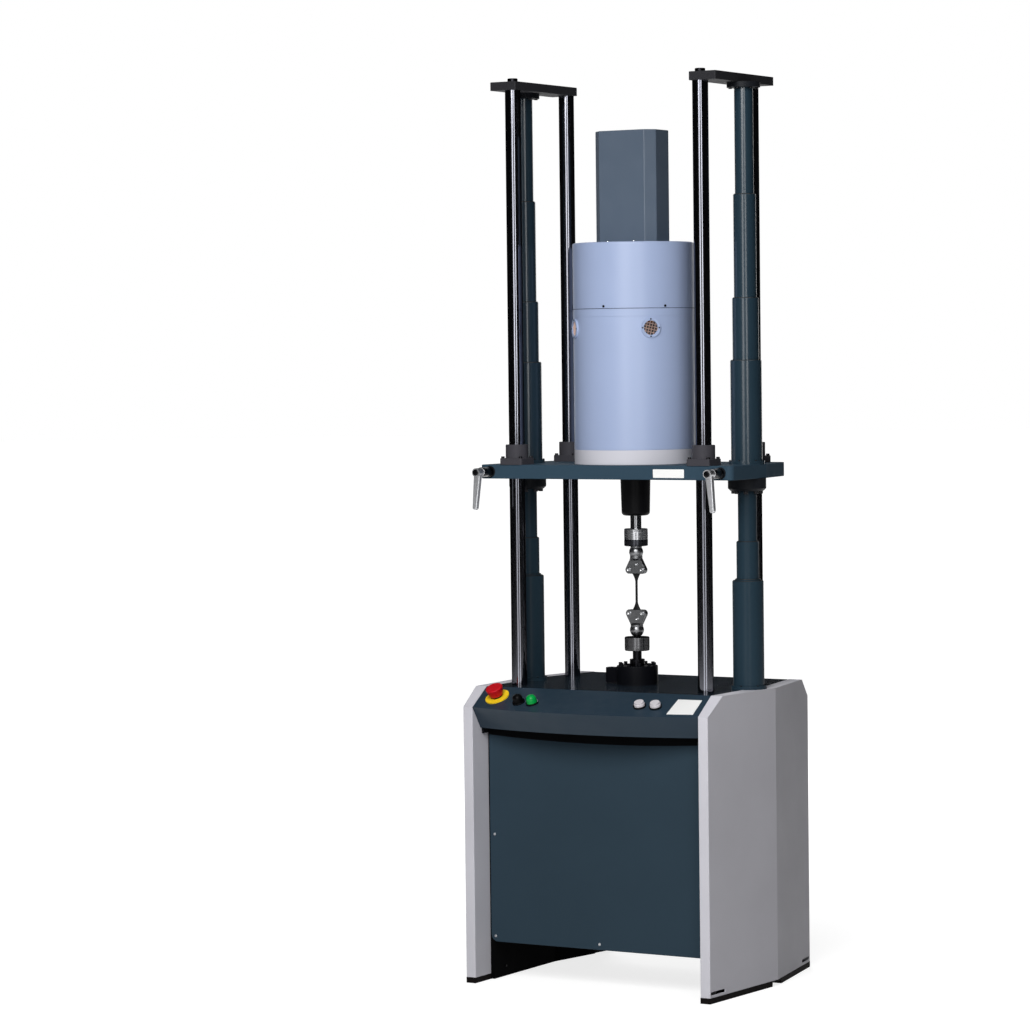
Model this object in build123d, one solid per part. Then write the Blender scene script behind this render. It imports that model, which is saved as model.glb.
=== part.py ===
from build123d import *
import math
import os

os.makedirs("parts", exist_ok=True)

# Universal testing machine, electrodynamic load frame with four columns.
# Millimetres. X runs to the machine's right, Y to its rear, Z up from the floor.
# The load axis is X = 0, Y = 0.

# pedestal
FOOT_H = 14.0
TABLE_Z = 719.5
TABLE_T = 40.0
TABLE_FRONT_Y = -200.0
TABLE_REAR_Y = 262.0
SHEET = 3.0
SIDE_FOLD = 356.0
COVER_DEPTH = 46.0
FRONT_STEP = 20.0
REAR_STEP = 53.0
SIDE_IN = SIDE_FOLD - COVER_DEPTH
SIDE_FRONT = SIDE_FOLD - FRONT_STEP
SIDE_REAR = SIDE_FOLD - REAR_STEP
COVER_EDGE_R = 2.0
FRONT_Y = -268.0
FOLD_Y = 42.0
REAR_Y = 320.0
BEND_Y = 95.0
CHAMFER_FRONT = 68.0
CHAMFER_DROP = 45.5
CHAMFER_REAR = 50.0
COVER_GAP = 0.5
FOOT_BAND = 4.5
FOOT_SPLIT_Y = 43.5
FOOT_SPLIT_W = 53.0
SLOT_L = 65.0
SLOT_H = 8.0
SLOT_Z = 20.0
SLOT_IN = 4.0
SLOT_DEPTH = 12.0
PANEL_T = 4.0
PANEL_BOTTOM = 94.0
PANEL_SIDE = 5.0
PANEL_CORNER_R = 18.0
FRAME_END_Y = 248.0
PLATE_T = 10.0
PLATE_UP = 1.0
RAIL_H = 40.0
RAIL_W = 20.0
BEAM_Y = 60.0
BEAM_Z = 110.0
SOLE_T = 10.0
SOLE_END = 6.0
SOLE_GAP = 2.0

# console
LIP_DROP = 98.0
LIP_SET_BACK = 36.0
BREAK_BOW = 52.0
LIP_BOW = 52.0
ESTOP_T = 0.47
LEFT_T = 0.645
RIGHT_T = 0.58
ESTOP_INSET = 54.8
STOP_TO_BLACK = 76.0
BUTTON_PITCH = 40.5
SILVER_INSET = 117.5
ESTOP_X = ESTOP_INSET - SIDE_IN
BUTTON_AT = {"black_button": (ESTOP_X + STOP_TO_BLACK, LEFT_T),
             "green_button": (ESTOP_X + STOP_TO_BLACK + BUTTON_PITCH, LEFT_T),
             "silver_button_left": (SIDE_IN - SILVER_INSET - BUTTON_PITCH, RIGHT_T),
             "silver_button_right": (SIDE_IN - SILVER_INSET, RIGHT_T)}
SEAT = 0.5
HOLE_R = 11.3
BARREL_R = 11.0
BARREL_L = 26.0
BEZEL_R = 15.4
BEZEL_H = 4.5
CAP_GAP = 0.4
BUTTON_R = 13.0
BUTTON_TOP = 14.0
DOME_ROUND = 9.0
STEP_R = 11.5
STEP_TOP = 9.5
BUTTON_EDGE = 0.8
BUTTON_TRAVEL = 3.0
STEM_R = 7.0
STEM_L = 18.0
ESTOP_RING_R = 30.0
ESTOP_RING_H = 3.0
ESTOP_NECK_R = 14.0
ESTOP_NECK_H = 11.0
ESTOP_R = 22.0
ESTOP_LOW_R = 17.0
ESTOP_HEAD_H = 21.0
ESTOP_ROUND = 3.0
ESTOP_TRAVEL = 5.0
PUSH_SPARE = 0.5

# load string
CELL_R = 50.5
CELL_H = 46.0
CELL_BOLTS = 10
CELL_BOLT_R = 4.5
CELL_BOLT_H = 7.5
CELL_BOLT_PCR = 42.0
PLUG_X = 85.0
PLUG_HALF_Y = 13.0
PLUG_H = 37.0
PLUG_UP = 2.5
PLUG_ROUND = 9.0
COLLAR_R = 18.5
COLLAR_H = 15.5
NECK_R = 11.0
NECK_H = 21.0
LOW_DISC_R = 30.5
LOW_DISC_H = 33.5
DISC_CHAMFER = 3.0
BALL_R = 17.3
BALL_UP = 16.5
BALL_IN = 12.1
GRIP_HALF = 27.5
GRIP_WAIST = 13.6
GRIP_H = 38.0
GRIP_EAR_R = 9.5
GRIP_SLOPE_H = 14.0
GRIP_SLOPE_X = 26.3
GRIP_EDGE = 0.8
GRIP_FRONT_Y = -6.5
GRIP_REAR_Y = 6.5
GRIP_NECK_R = 15.4
GRIP_NECK_EDGE = 3.0
JAW_H = 34.0
JAW_GAP = 0.4
SPEC_T = 4.0
SPEC_TAB_HALF = 11.5
SPEC_GAUGE_HALF = 2.5
SPEC_TAB_IN = 30.0
SPEC_TAPER = 16.0
GRIP_SPACE = 87.5
UP_DISC_R = 29.3
UP_DISC_H = 42.5
DISC_NOTCH_W = 9.0
DISC_NOTCH_D = 7.0
DISC_NOTCH_H = 7.0
DISC_LINE = 0.38
DISC_GROOVE = 1.0
UP_NECK_R = 14.0
UP_BALL_DOWN = 15.0
UP_EAR_TO_DISC = 68.0
ROD_OUT = 31.9

# columns and brackets
LIFT_INSET = 50.0
COL_TO_LIFT = 47.6
LIFT_X = SIDE_FOLD - LIFT_INSET
COL_X = LIFT_X - COL_TO_LIFT
COL_Y = 129.2
COL_R = 19.0
COL_SEAT = 28.0
SEAT_CLEAR = 0.2
COL_FREE = 1449.9
BRACKET_Z = TABLE_Z + COL_FREE
BRACKET_T = 20.6
BRACKET_IN = 20.0
BRACKET_OUT = 52.0
BRACKET_END = 21.0
SPIGOT_R = 10.0
CAP_R = 12.5
CAP_H = 8.0

# lift: screws, nuts and telescopic covers
SCREW_R = 10.0
SCREW_END = 19.4
SCREW_TOP = BRACKET_Z - SCREW_END
JOURNAL_R = 8.0
JOURNAL_CLEAR = 0.05
SHELF_DOWN = 159.5
SHELF_Z = TABLE_Z - SHELF_DOWN
SHELF_T = 8.0
SHELF_HALF_Y = 60.0
SHELF_OUT = 32.0
SHELF_REACH = 45.0
PULLEY_UP = 20.0
PULLEY_Z = SHELF_Z + PULLEY_UP
PULLEY_H = 24.0
PULLEY_R = 30.0
BELT_GAP = 0.4
BELT_T = 2.4
BELT_W = 18.0
MOTOR_R = 25.0
MOTOR_L = 120.0
MOTOR_SHAFT_R = 5.0
MOTOR_ROOM = 12.0
TUBE_R = (37.5, 31.5, 27.0, 22.5)
TUBE_WALL = 2.0
TUBE_LIP = 6.0
TUBE_CLEAR = 0.5
TUBE_EDGE = 0.8
UPPER_TOP_SHARE = (0.27617, 0.44209, 0.71715)
UPPER_L_SHARE = (0.30067, 0.33408, 0.33408)
LOWER_TOP_SHARE = (0.54574, 0.55415, 0.74343)
LOWER_L_SHARE = (0.50473, 0.56782, 0.56782)
FLANGE_R = 43.0
FLANGE_T = 8.0
EAR_HALF = 48.0
EAR_OUT = 39.0
EAR_CLEAR = 4.0
SCREW_HOLE_R = 14.0
BEARING_R = 40.0
BEARING_T = 12.4
NUT_FLANGE_R = 46.0
NUT_FLANGE_T = 30.0
NUT_R = 24.0
NUT_CLEAR = 0.4

# crosshead
SLEEVE_DOWN = 93.0
STRING_H = CELL_H + COLLAR_H + NECK_H + LOW_DISC_H + BALL_UP + BALL_IN + GRIP_H + GRIP_SPACE
CROSS_Z = TABLE_Z + STRING_H + UP_EAR_TO_DISC + UP_DISC_H + ROD_OUT + SLEEVE_DOWN
CROSS_T = 34.0
CROSS_INSET = 8.0
CROSS_X = SIDE_FOLD - CROSS_INSET
CROSS_FRONT_Y = -158.0
CROSS_FOLD_Y = 20.0
CROSS_TAPER = 23.0
CROSS_REAR_X = CROSS_X - CROSS_TAPER
CROSS_REAR_Y = 165.0
CROSS_CORNER_R = 14.0
CROSS_COL_CLEAR = 1.0
BUSH_FLANGE = 62.0
BUSH_FLANGE_T = 16.0
BUSH_R = 27.5
BUSH_H = 33.0
GUIDE_CLEAR = 0.05
LEVER_INSET = 30.0
LEVER_X = CROSS_X - LEVER_INSET
LEVER_Z = CROSS_Z + CROSS_T / 2
LEVER_L = 92.0
LEVER_SPLAY = 5.5
LEVER_EYE_R = 10.5
LEVER_EYE_W = 22.0
LEVER_STAND = 46.0
LEVER_HUB_R = 11.0
LEVER_END_R = 6.0
LEVER_T = 11.0
STUD_R = 6.0
STUD_L = 28.0
STUD_CLEAR = 0.4

# actuator
ACT_R = 147.5
ACT_WALL = 5.0
ACT_RING_H = 35.5
ACT_RING_WALL = 14.0
ACT_LOWER_H = 340.5
ACT_UPPER_H = 160.0
ACT_LID_T = 6.0
ACT_RIM_R = 4.0
ACT_SEAM = 0.8
ACT_LINE_DOWN = 19.0
PORT_R = 24.0
PORT_BORE_R = 17.5
PORT_OUT = 3.0
PORT_L = 40.0
PORT_DOWN = 47.0
BOX_HALF_X = 84.0
BOX_HALF_Y = 53.0
BOX_CORNER = 21.5
BOX_H = 271.0
SLEEVE_R = 36.8
SLEEVE_LOW_R = 34.4
SLEEVE_FLANGE_R = 60.0
SLEEVE_FLANGE_T = 10.0
SLEEVE_ROUND = 9.0
SLEEVE_BORE_CLEAR = 1.0
SLEEVE_CLEAR = 1.0
ROD_R = 13.5
ROD_UP = 475.0
ROD_TOP = CROSS_Z + ROD_UP
CORE_R = 4.0
CORE_L = 200.0
CORE_TOP = ROD_TOP + CORE_L
LID_HOLE_R = 12.0
YOKE_UP = 75.0
YOKE_H = 300.0
YOKE_Z = CROSS_Z + YOKE_UP
YOKE_TOP = YOKE_Z + YOKE_H
YOKE_GAP = 4.5
YOKE_WALL = 28.0
YOKE_R = ACT_R - ACT_WALL - YOKE_GAP
YOKE_IN_R = YOKE_R - YOKE_WALL
YOKE_BASE_T = 30.0
GUIDE_R = 24.0
GUIDE_L = 40.0
MAGNET_T = 20.0
MAGNET_IN_R = YOKE_IN_R - MAGNET_T
MAGNET_UP = 170.0
MAGNET_Z = YOKE_Z + MAGNET_UP
MAGNET_H = 90.0
COIL_GAP = 6.0
COIL_T = 18.0
COIL_R = MAGNET_IN_R - COIL_GAP
COIL_IN_R = COIL_R - COIL_T
POLE_R = COIL_IN_R - COIL_GAP
COIL_UP = 150.0
COIL_Z = YOKE_Z + COIL_UP
COIL_H = 140.0
SPIDER_UP = 40.0
SPIDER_Z = YOKE_TOP + SPIDER_UP
SPIDER_T = 10.0
SENSOR_R = 18.0
SENSOR_BORE_R = 6.0
SENSOR_H = 165.0


def cyl(r, z0, z1, x=0.0, y=0.0):
    base = (Align.CENTER, Align.CENTER, Align.MIN)
    return Pos(x, y, z0) * Cylinder(r, z1 - z0, align=base)


def ring(ro, ri, z0, z1, x=0.0, y=0.0):
    return cyl(ro, z0, z1, x, y) - cyl(ri, z0 - 1, z1 + 1, x, y)


def block(x0, x1, y0, y1, z0, z1):
    return Pos(x0, y0, z0) * Box(x1 - x0, y1 - y0, z1 - z0, align=(Align.MIN, Align.MIN, Align.MIN))


def plan(points, z0, z1):
    return Pos(0, 0, z0) * extrude(Polygon(*points, align=None), z1 - z0, dir=(0, 0, 1))


def front_view(points, y0, y1):
    return Pos(0, y1, 0) * extrude(Plane.XZ * Polygon(*points, align=None), y1 - y0, dir=(0, -1, 0))


def side_view(points, x0, x1):
    return Pos(x0, 0, 0) * extrude(Plane.YZ * Polygon(*points, align=None), x1 - x0, dir=(1, 0, 0))


def both_sides(shape):
    return [shape, mirror(shape, about=Plane.YZ)]


def save(name, shape):
    solids = []
    for piece in shape if isinstance(shape, list) else [shape]:
        solids.extend(piece.solids())
    body = solids[0] if len(solids) == 1 else Compound(solids)
    body.label = name
    export_step(body, f"parts/{name}.step")


# Pedestal covers
taper = (SIDE_REAR - SIDE_FOLD) / (REAR_Y - FOLD_Y)


def inner_x(y):
    return SIDE_IN + min(0.0, taper * (y - BEND_Y))


cover_plan = [(SIDE_IN, FRONT_Y), (SIDE_FRONT, FRONT_Y), (SIDE_FOLD, FOLD_Y), (SIDE_REAR, REAR_Y),
              (inner_x(REAR_Y), REAR_Y), (SIDE_IN, BEND_Y)]


def cover_profile(bottom):
    return [(FRONT_Y, bottom), (FRONT_Y, TABLE_Z - CHAMFER_DROP), (FRONT_Y + CHAMFER_FRONT, TABLE_Z),
            (REAR_Y - CHAMFER_REAR, TABLE_Z), (REAR_Y, TABLE_Z - CHAMFER_DROP), (REAR_Y, bottom)]


ear_x = LIFT_X + EAR_OUT
ear_top = TABLE_Z - SHEET - COVER_GAP
cover = plan(cover_plan, FOOT_H, TABLE_Z)
cover = fillet(cover.edges().filter_by(Axis.Z), COVER_EDGE_R)
cover &= side_view(cover_profile(FOOT_H), 0, SIDE_FOLD + 10)
inset = offset(Polygon(*cover_plan, align=None), -SHEET, kind=Kind.INTERSECTION)
hollow = Pos(0, 0, FOOT_H - 10) * extrude(inset, TABLE_Z, dir=(0, 0, 1))
inset_side = offset(Polygon(*cover_profile(FOOT_H - 20), align=None), -SHEET, kind=Kind.INTERSECTION)
hollow &= extrude(Plane.YZ * inset_side, SIDE_FOLD + 10, dir=(1, 0, 0))
cover -= hollow
open_y0 = TABLE_FRONT_Y + PANEL_T + COVER_GAP
cover -= block(SIDE_IN - 10, SIDE_IN + SHEET + 1, open_y0, BEND_Y, 0, TABLE_Z - TABLE_T - COVER_GAP)
ear_half = EAR_HALF + EAR_CLEAR
cover -= block(SIDE_IN - 10, SIDE_IN + SHEET + 1, -ear_half, ear_half, 0, TABLE_Z - SHEET)
cover -= cyl(TUBE_R[0] + COVER_GAP, TABLE_Z - 20, TABLE_Z + 1, LIFT_X)
for slot_x, slot_y in ((SIDE_FRONT, FRONT_Y + SLOT_IN), (SIDE_REAR, REAR_Y - SLOT_IN - SLOT_L)):
    cover -= block(slot_x - SLOT_DEPTH, SIDE_FOLD + 1, slot_y, slot_y + SLOT_L, SLOT_Z, SLOT_Z + SLOT_H)
save("right_side_cover", cover)
save("left_side_cover", mirror(cover, about=Plane.YZ))

# Each foot: a band under the whole cover and two pads with a gap between them
pad_top = FOOT_H - FOOT_BAND
gap0, gap1 = FOOT_SPLIT_Y - FOOT_SPLIT_W / 2, FOOT_SPLIT_Y + FOOT_SPLIT_W / 2
foot = plan(cover_plan, 0, FOOT_H) - block(0, SIDE_FOLD + 1, gap0, gap1, -1, pad_top)
save("foot_strips", both_sides(foot))

# Table plate, with an ear under each lift screw
half = SIDE_IN - COVER_GAP
rear_half = inner_x(TABLE_REAR_Y) - COVER_GAP
table_plan = [(-half, TABLE_FRONT_Y), (half, TABLE_FRONT_Y), (half, BEND_Y), (rear_half, TABLE_REAR_Y),
              (-rear_half, TABLE_REAR_Y), (-half, BEND_Y)]
table_under = TABLE_Z - TABLE_T
table = plan(table_plan, table_under, TABLE_Z)
table += block(-ear_x, ear_x, -EAR_HALF, EAR_HALF, table_under, ear_top)
for sx in (-1, 1):
    table -= cyl(SCREW_HOLE_R, table_under - 1, TABLE_Z + 1, sx * LIFT_X)
    table -= cyl(TUBE_R[0] + COVER_GAP, ear_top, TABLE_Z + 1, sx * LIFT_X)
    for sy in (-1, 1):
        table -= cyl(COL_R + SEAT_CLEAR, TABLE_Z - COL_SEAT, TABLE_Z + 1, sx * COL_X, sy * COL_Y)
save("table_plate", table)

# Welded frame under the table: two side plates on soles over the feet, screw shelves, cross rails
plate_y0 = TABLE_FRONT_Y + PANEL_T
plate_in = COVER_GAP + PLATE_T
end_x = inner_x(FRAME_END_Y)
plate_plan = [(SIDE_IN - plate_in, plate_y0), (half, plate_y0), (half, BEND_Y),
              (end_x - COVER_GAP, FRAME_END_Y), (end_x - plate_in, FRAME_END_Y), (SIDE_IN - plate_in, BEND_Y)]
side_plate = plan(plate_plan, PLATE_UP, table_under)
side_plate -= block(0, SIDE_IN, -ear_half, ear_half, SHELF_Z + SHELF_T, table_under + 1)
motor_half = MOTOR_R + MOTOR_ROOM
side_plate -= block(0, SIDE_IN, -motor_half, motor_half, SHELF_Z - MOTOR_L - MOTOR_ROOM, SHELF_Z)
side_plate += block(LIFT_X - SHELF_REACH, LIFT_X + SHELF_OUT, -SHELF_HALF_Y, SHELF_HALF_Y, SHELF_Z,
                    SHELF_Z + SHELF_T)
side_plate += block(SIDE_IN - plate_in, SIDE_FRONT - SHEET - SOLE_GAP, plate_y0 + SOLE_END, BEND_Y - SOLE_END,
                    FOOT_H, FOOT_H + SOLE_T)
side_plate -= cyl(JOURNAL_R + JOURNAL_CLEAR, SHELF_Z - 1, SHELF_Z + SHELF_T + 1, LIFT_X)
rail_z = table_under - RAIL_H
rail_x, rear_rail_x = SIDE_IN - PLATE_T / 2, end_x - PLATE_T / 2
rails = [block(-rail_x, rail_x, plate_y0, plate_y0 + RAIL_W, rail_z, table_under),
         block(-rear_rail_x, rear_rail_x, FRAME_END_Y - RAIL_W, FRAME_END_Y, rail_z, table_under),
         block(-rail_x, rail_x, BEAM_Y, BEAM_Y + RAIL_W, BEAM_Z, BEAM_Z + RAIL_H)]
save("base_frame", side_plate.fuse(mirror(side_plate, about=Plane.YZ), *rails))

# Front and rear panels
front_half = SIDE_IN - PANEL_SIDE
panel = block(-front_half, front_half, TABLE_FRONT_Y, TABLE_FRONT_Y + PANEL_T, PANEL_BOTTOM,
              table_under - COVER_GAP)
panel = fillet(panel.edges().filter_by(Axis.Y).group_by(Axis.Z)[0], PANEL_CORNER_R)
panel = chamfer(panel.edges().group_by(Axis.Y)[0], 1.0)
save("front_panel", panel)
back_half = inner_x(TABLE_REAR_Y) - COVER_GAP
back = block(-back_half, back_half, FRAME_END_Y, FRAME_END_Y + PANEL_T, PANEL_BOTTOM,
             table_under - COVER_GAP)
back = fillet(back.edges().filter_by(Axis.Y).group_by(Axis.Z)[0], PANEL_CORNER_R)
save("rear_panel", back)


# Console: slope between the straight table edge and a bowed break line, then a bowed lip
def console_solid(xe, yr, zr, yb, bow_b, zb, yl, bow_l, zl):
    r0, r1 = Vector(-xe, yr, zr), Vector(xe, yr, zr)
    b0, b1 = Vector(-xe, yb, zb), Vector(xe, yb, zb)
    l0, l1 = Vector(-xe, yl, zl), Vector(xe, yl, zl)
    s0, s1 = Vector(-xe, yr, zl), Vector(xe, yr, zl)
    er = Edge.make_line(r0, r1)
    eb = Edge.make_three_point_arc(b0, Vector(0, yb - bow_b, zb), b1)
    el = Edge.make_three_point_arc(l0, Vector(0, yl - bow_l, zl), l1)
    es = Edge.make_line(s0, s1)
    faces = [
        Face.make_surface_from_curves(er, eb),
        Face.make_surface_from_curves(eb, el),
        Face(Wire([el, Edge.make_line(l1, s1), es, Edge.make_line(s0, l0)])),
        Face(Wire([er, Edge.make_line(r1, s1), es, Edge.make_line(s0, r0)])),
        Face(Wire.make_polygon([r0, b0, l0, s0], close=True)),
        Face(Wire.make_polygon([r1, b1, l1, s1], close=True)),
    ]
    return Solid(Shell(faces))


break_z = TABLE_Z - CHAMFER_DROP
lip_z = TABLE_Z - LIP_DROP
lip_y = FRONT_Y + LIP_SET_BACK
console = console_solid(half, TABLE_FRONT_Y, TABLE_Z, FRONT_Y, BREAK_BOW, break_z, lip_y, LIP_BOW, lip_z)
inside = console_solid(half - SHEET, TABLE_FRONT_Y + 1, TABLE_Z - SHEET * 1.5, FRONT_Y + SHEET * 1.6,
                       BREAK_BOW, break_z - SHEET * 0.6, lip_y + SHEET * 1.4, LIP_BOW, lip_z + SHEET)
console -= inside
arc_r = (half ** 2 + BREAK_BOW ** 2) / (2 * BREAK_BOW)
arc_y = FRONT_Y - BREAK_BOW + arc_r


def control_plane(x, t):
    root = math.sqrt(arc_r ** 2 - x ** 2)
    yb = arc_y - root
    ty, tz = yb - TABLE_FRONT_Y, break_z - TABLE_Z
    point = Vector(x, TABLE_FRONT_Y + t * ty, TABLE_Z + t * tz)
    normal = Vector(-t * x / root * tz, tz, -ty).normalized()
    return Plane(origin=point - normal * SEAT, x_dir=(1, 0, 0), z_dir=normal)


stop_plane = control_plane(ESTOP_X, ESTOP_T)
button_planes = {name: control_plane(x, t) for name, (x, t) in BUTTON_AT.items()}
console -= stop_plane * cyl(HOLE_R, -40, 20)
console -= stop_plane * cyl(ESTOP_RING_R + CAP_GAP, 0, 20)
for place in button_planes.values():
    console -= place * cyl(HOLE_R, -40, 20)
    console -= place * cyl(BEZEL_R + CAP_GAP, 0, 20)
save("console_housing", console)

# Push buttons in bezels: two domed caps at the left, two stepped caps at the right
bezel = ring(BEZEL_R, BUTTON_R + CAP_GAP, 0, BEZEL_H) + ring(BARREL_R, STEM_R + CAP_GAP, -BARREL_L, 0)
bezel += ring(BEZEL_R, STEM_R + CAP_GAP, 0, PUSH_SPARE)
cap_low = PUSH_SPARE * 2 + BUTTON_TRAVEL
stem = cyl(STEM_R, cap_low - STEM_L, cap_low)
domed = fillet(cyl(BUTTON_R, cap_low, BUTTON_TOP).edges().group_by(Axis.Z)[-1], DOME_ROUND) + stem
stepped = fillet(cyl(BUTTON_R, cap_low, STEP_TOP).edges().group_by(Axis.Z)[-1], BUTTON_EDGE)
stepped += fillet(cyl(STEP_R, cap_low, BUTTON_TOP).edges().group_by(Axis.Z)[-1], BUTTON_EDGE)
stepped += stem
for name, place in button_planes.items():
    save(name, place * (stepped if name.startswith("silver") else domed))

# Emergency stop: a collar plate, a neck with its barrel, and a flared head that slides over the neck
neck_top = ESTOP_RING_H + ESTOP_NECK_H
neck = ring(ESTOP_NECK_R, STEM_R + CAP_GAP, ESTOP_RING_H, neck_top)
neck += ring(BARREL_R, STEM_R + CAP_GAP, -BARREL_L, ESTOP_RING_H)
save("button_bezels", [place * bezel for place in button_planes.values()] + [stop_plane * neck])
save("estop_collar", stop_plane * ring(ESTOP_RING_R, HOLE_R, 0, ESTOP_RING_H))
head_low = ESTOP_RING_H + ESTOP_TRAVEL + PUSH_SPARE
recess_top = neck_top + ESTOP_TRAVEL + PUSH_SPARE
flare = (Align.CENTER, Align.CENTER, Align.MIN)
head = Pos(0, 0, head_low) * Cone(ESTOP_LOW_R, ESTOP_R, ESTOP_HEAD_H, align=flare)
head = fillet(head.edges().group_by(Axis.Z)[-1], ESTOP_ROUND)
head -= cyl(ESTOP_NECK_R + CAP_GAP, head_low - 1, recess_top)
head += cyl(STEM_R, head_low - STEM_L, recess_top)
save("estop_head", stop_plane * head)

# Columns, brackets, cap nuts
bracket_top = BRACKET_Z + BRACKET_T
column = cyl(COL_R, TABLE_Z - COL_SEAT, BRACKET_Z)
column += cyl(SPIGOT_R, BRACKET_Z, bracket_top - SEAT)
for side, sx in (("left", -1), ("right", 1)):
    for end, sy in (("front", -1), ("rear", 1)):
        save(f"column_{end}_{side}", Pos(sx * COL_X, sy * COL_Y, 0) * column)
bracket = block(COL_X - BRACKET_IN, COL_X + BRACKET_OUT, -COL_Y - BRACKET_END, COL_Y + BRACKET_END,
                BRACKET_Z, bracket_top)
bracket = fillet(bracket.edges().filter_by(Axis.Z), 3.0)
bracket = chamfer(bracket.edges().group_by(Axis.Z)[-1], 1.0)
for sy in (-1, 1):
    bracket -= cyl(SPIGOT_R + SEAT_CLEAR, BRACKET_Z - 1, bracket_top + 1, COL_X, sy * COL_Y)
save("right_top_bracket", bracket)
save("left_top_bracket", mirror(bracket, about=Plane.YZ))
cap_nut = fillet(cyl(CAP_R, bracket_top, bracket_top + CAP_H).edges().group_by(Axis.Z)[-1], 2.0)
save("column_cap_nuts", [Pos(sx * COL_X, -COL_Y, 0) * cap_nut for sx in (-1, 1)])

# Lift screws with pulleys, bearings, belt, motor
screw = cyl(SCREW_R, PULLEY_Z + PULLEY_H, SCREW_TOP) + cyl(PULLEY_R, PULLEY_Z, PULLEY_Z + PULLEY_H)
screw += cyl(JOURNAL_R, SHELF_Z + SHELF_T / 2, PULLEY_Z)
screw += cyl(JOURNAL_R, SCREW_TOP, BRACKET_Z - SEAT)
for side, sx in (("left", -1), ("right", 1)):
    save(f"{side}_lift_screw", Pos(sx * LIFT_X, 0, 0) * screw)
bearing = ring(BEARING_R, JOURNAL_R + JOURNAL_CLEAR, BRACKET_Z - BEARING_T, BRACKET_Z, LIFT_X)
save("screw_top_bearings", both_sides(bearing))
belt_z = PULLEY_Z + (PULLEY_H - BELT_W) / 2
belt_in = PULLEY_R + BELT_GAP
belt = SlotCenterToCenter(2 * LIFT_X, 2 * (belt_in + BELT_T)) - SlotCenterToCenter(2 * LIFT_X, 2 * belt_in)
save("drive_belt", Pos(0, 0, belt_z) * extrude(belt, BELT_W, dir=(0, 0, 1)))
motor = cyl(MOTOR_R, SHELF_Z - MOTOR_L, SHELF_Z, -LIFT_X)
motor += cyl(MOTOR_SHAFT_R, SHELF_Z, SHELF_Z + SHELF_T / 2 - SEAT, -LIFT_X)
save("lift_motor", motor)


# Telescopic covers: four tubes above the crosshead and four below it, each with a lip at its top
def tube(i, top, length, lip=True):
    r = TUBE_R[i]
    body = ring(r, r - TUBE_WALL, top - length, top, LIFT_X)
    if lip:
        body += ring(r, TUBE_R[i + 1] + TUBE_CLEAR, top - TUBE_LIP, top, LIFT_X)
        body = chamfer(body.edges().group_by(Axis.Z)[-1].sort_by(SortBy.RADIUS)[-1], TUBE_EDGE)
    return body


cross_top = CROSS_Z + CROSS_T
upper_base = ring(FLANGE_R, TUBE_R[0] - TUBE_WALL, cross_top, cross_top + FLANGE_T, LIFT_X)
top_end = BRACKET_Z - BEARING_T
upper_span = top_end - cross_top
UPPER_TOP = [cross_top + share * upper_span for share in UPPER_TOP_SHARE]
UPPER_L = [share * upper_span for share in UPPER_L_SHARE]
upper_wide = tube(0, UPPER_TOP[0], UPPER_TOP[0] - cross_top) + upper_base
save("upper_tubes_on_crosshead", both_sides(upper_wide))
save("upper_tubes_second", both_sides(tube(1, UPPER_TOP[1], UPPER_L[0])))
save("upper_tubes_third", both_sides(tube(2, UPPER_TOP[2], UPPER_L[1])))
save("upper_tubes_on_bracket", both_sides(tube(3, top_end, UPPER_L[2], lip=False)))
nut_low = CROSS_Z - NUT_FLANGE_T
lower_span = nut_low - TABLE_Z
LOWER_TOP = [TABLE_Z + share * lower_span for share in LOWER_TOP_SHARE]
LOWER_L = [share * lower_span for share in LOWER_L_SHARE]
lower_wide = tube(0, LOWER_TOP[0], LOWER_TOP[0] - ear_top)
lower_wide += ring(FLANGE_R, TUBE_R[0] - TUBE_WALL, TABLE_Z, TABLE_Z + FLANGE_T, LIFT_X)
save("lower_tubes_on_table", both_sides(lower_wide))
save("lower_tubes_second", both_sides(tube(1, LOWER_TOP[1], LOWER_L[0])))
save("lower_tubes_third", both_sides(tube(2, LOWER_TOP[2], LOWER_L[1])))
save("lower_tubes_on_crosshead", both_sides(tube(3, nut_low, LOWER_L[2], lip=False)))

# Crosshead plate
cross_plan = [(-CROSS_X, CROSS_FRONT_Y), (CROSS_X, CROSS_FRONT_Y), (CROSS_X, CROSS_FOLD_Y),
              (CROSS_REAR_X, CROSS_REAR_Y), (-CROSS_REAR_X, CROSS_REAR_Y), (-CROSS_X, CROSS_FOLD_Y)]
cross = plan(cross_plan, CROSS_Z, cross_top)
corners = cross.edges().filter_by(Axis.Z).group_by(Axis.Y)
cross = fillet(corners[0] + corners[-1], CROSS_CORNER_R)
cross = chamfer(cross.edges().group_by(Axis.Z)[-1] + cross.edges().group_by(Axis.Z)[0], 1.2)
cross -= cyl(SLEEVE_R + SLEEVE_CLEAR, CROSS_Z - 1, cross_top + 1)
for sx in (-1, 1):
    cross -= cyl(NUT_R + SEAT, CROSS_Z - 1, cross_top + 1, sx * LIFT_X)
    cross -= Pos(sx * LEVER_X, CROSS_FRONT_Y, LEVER_Z) * Rot(90, 0, 0) * Cylinder(
        STUD_R + STUD_CLEAR, 2 * STUD_L + 4)
    for sy in (-1, 1):
        cross -= cyl(COL_R + CROSS_COL_CLEAR, CROSS_Z - 1, cross_top + 1, sx * COL_X, sy * COL_Y)
save("crosshead_plate", cross)

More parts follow.
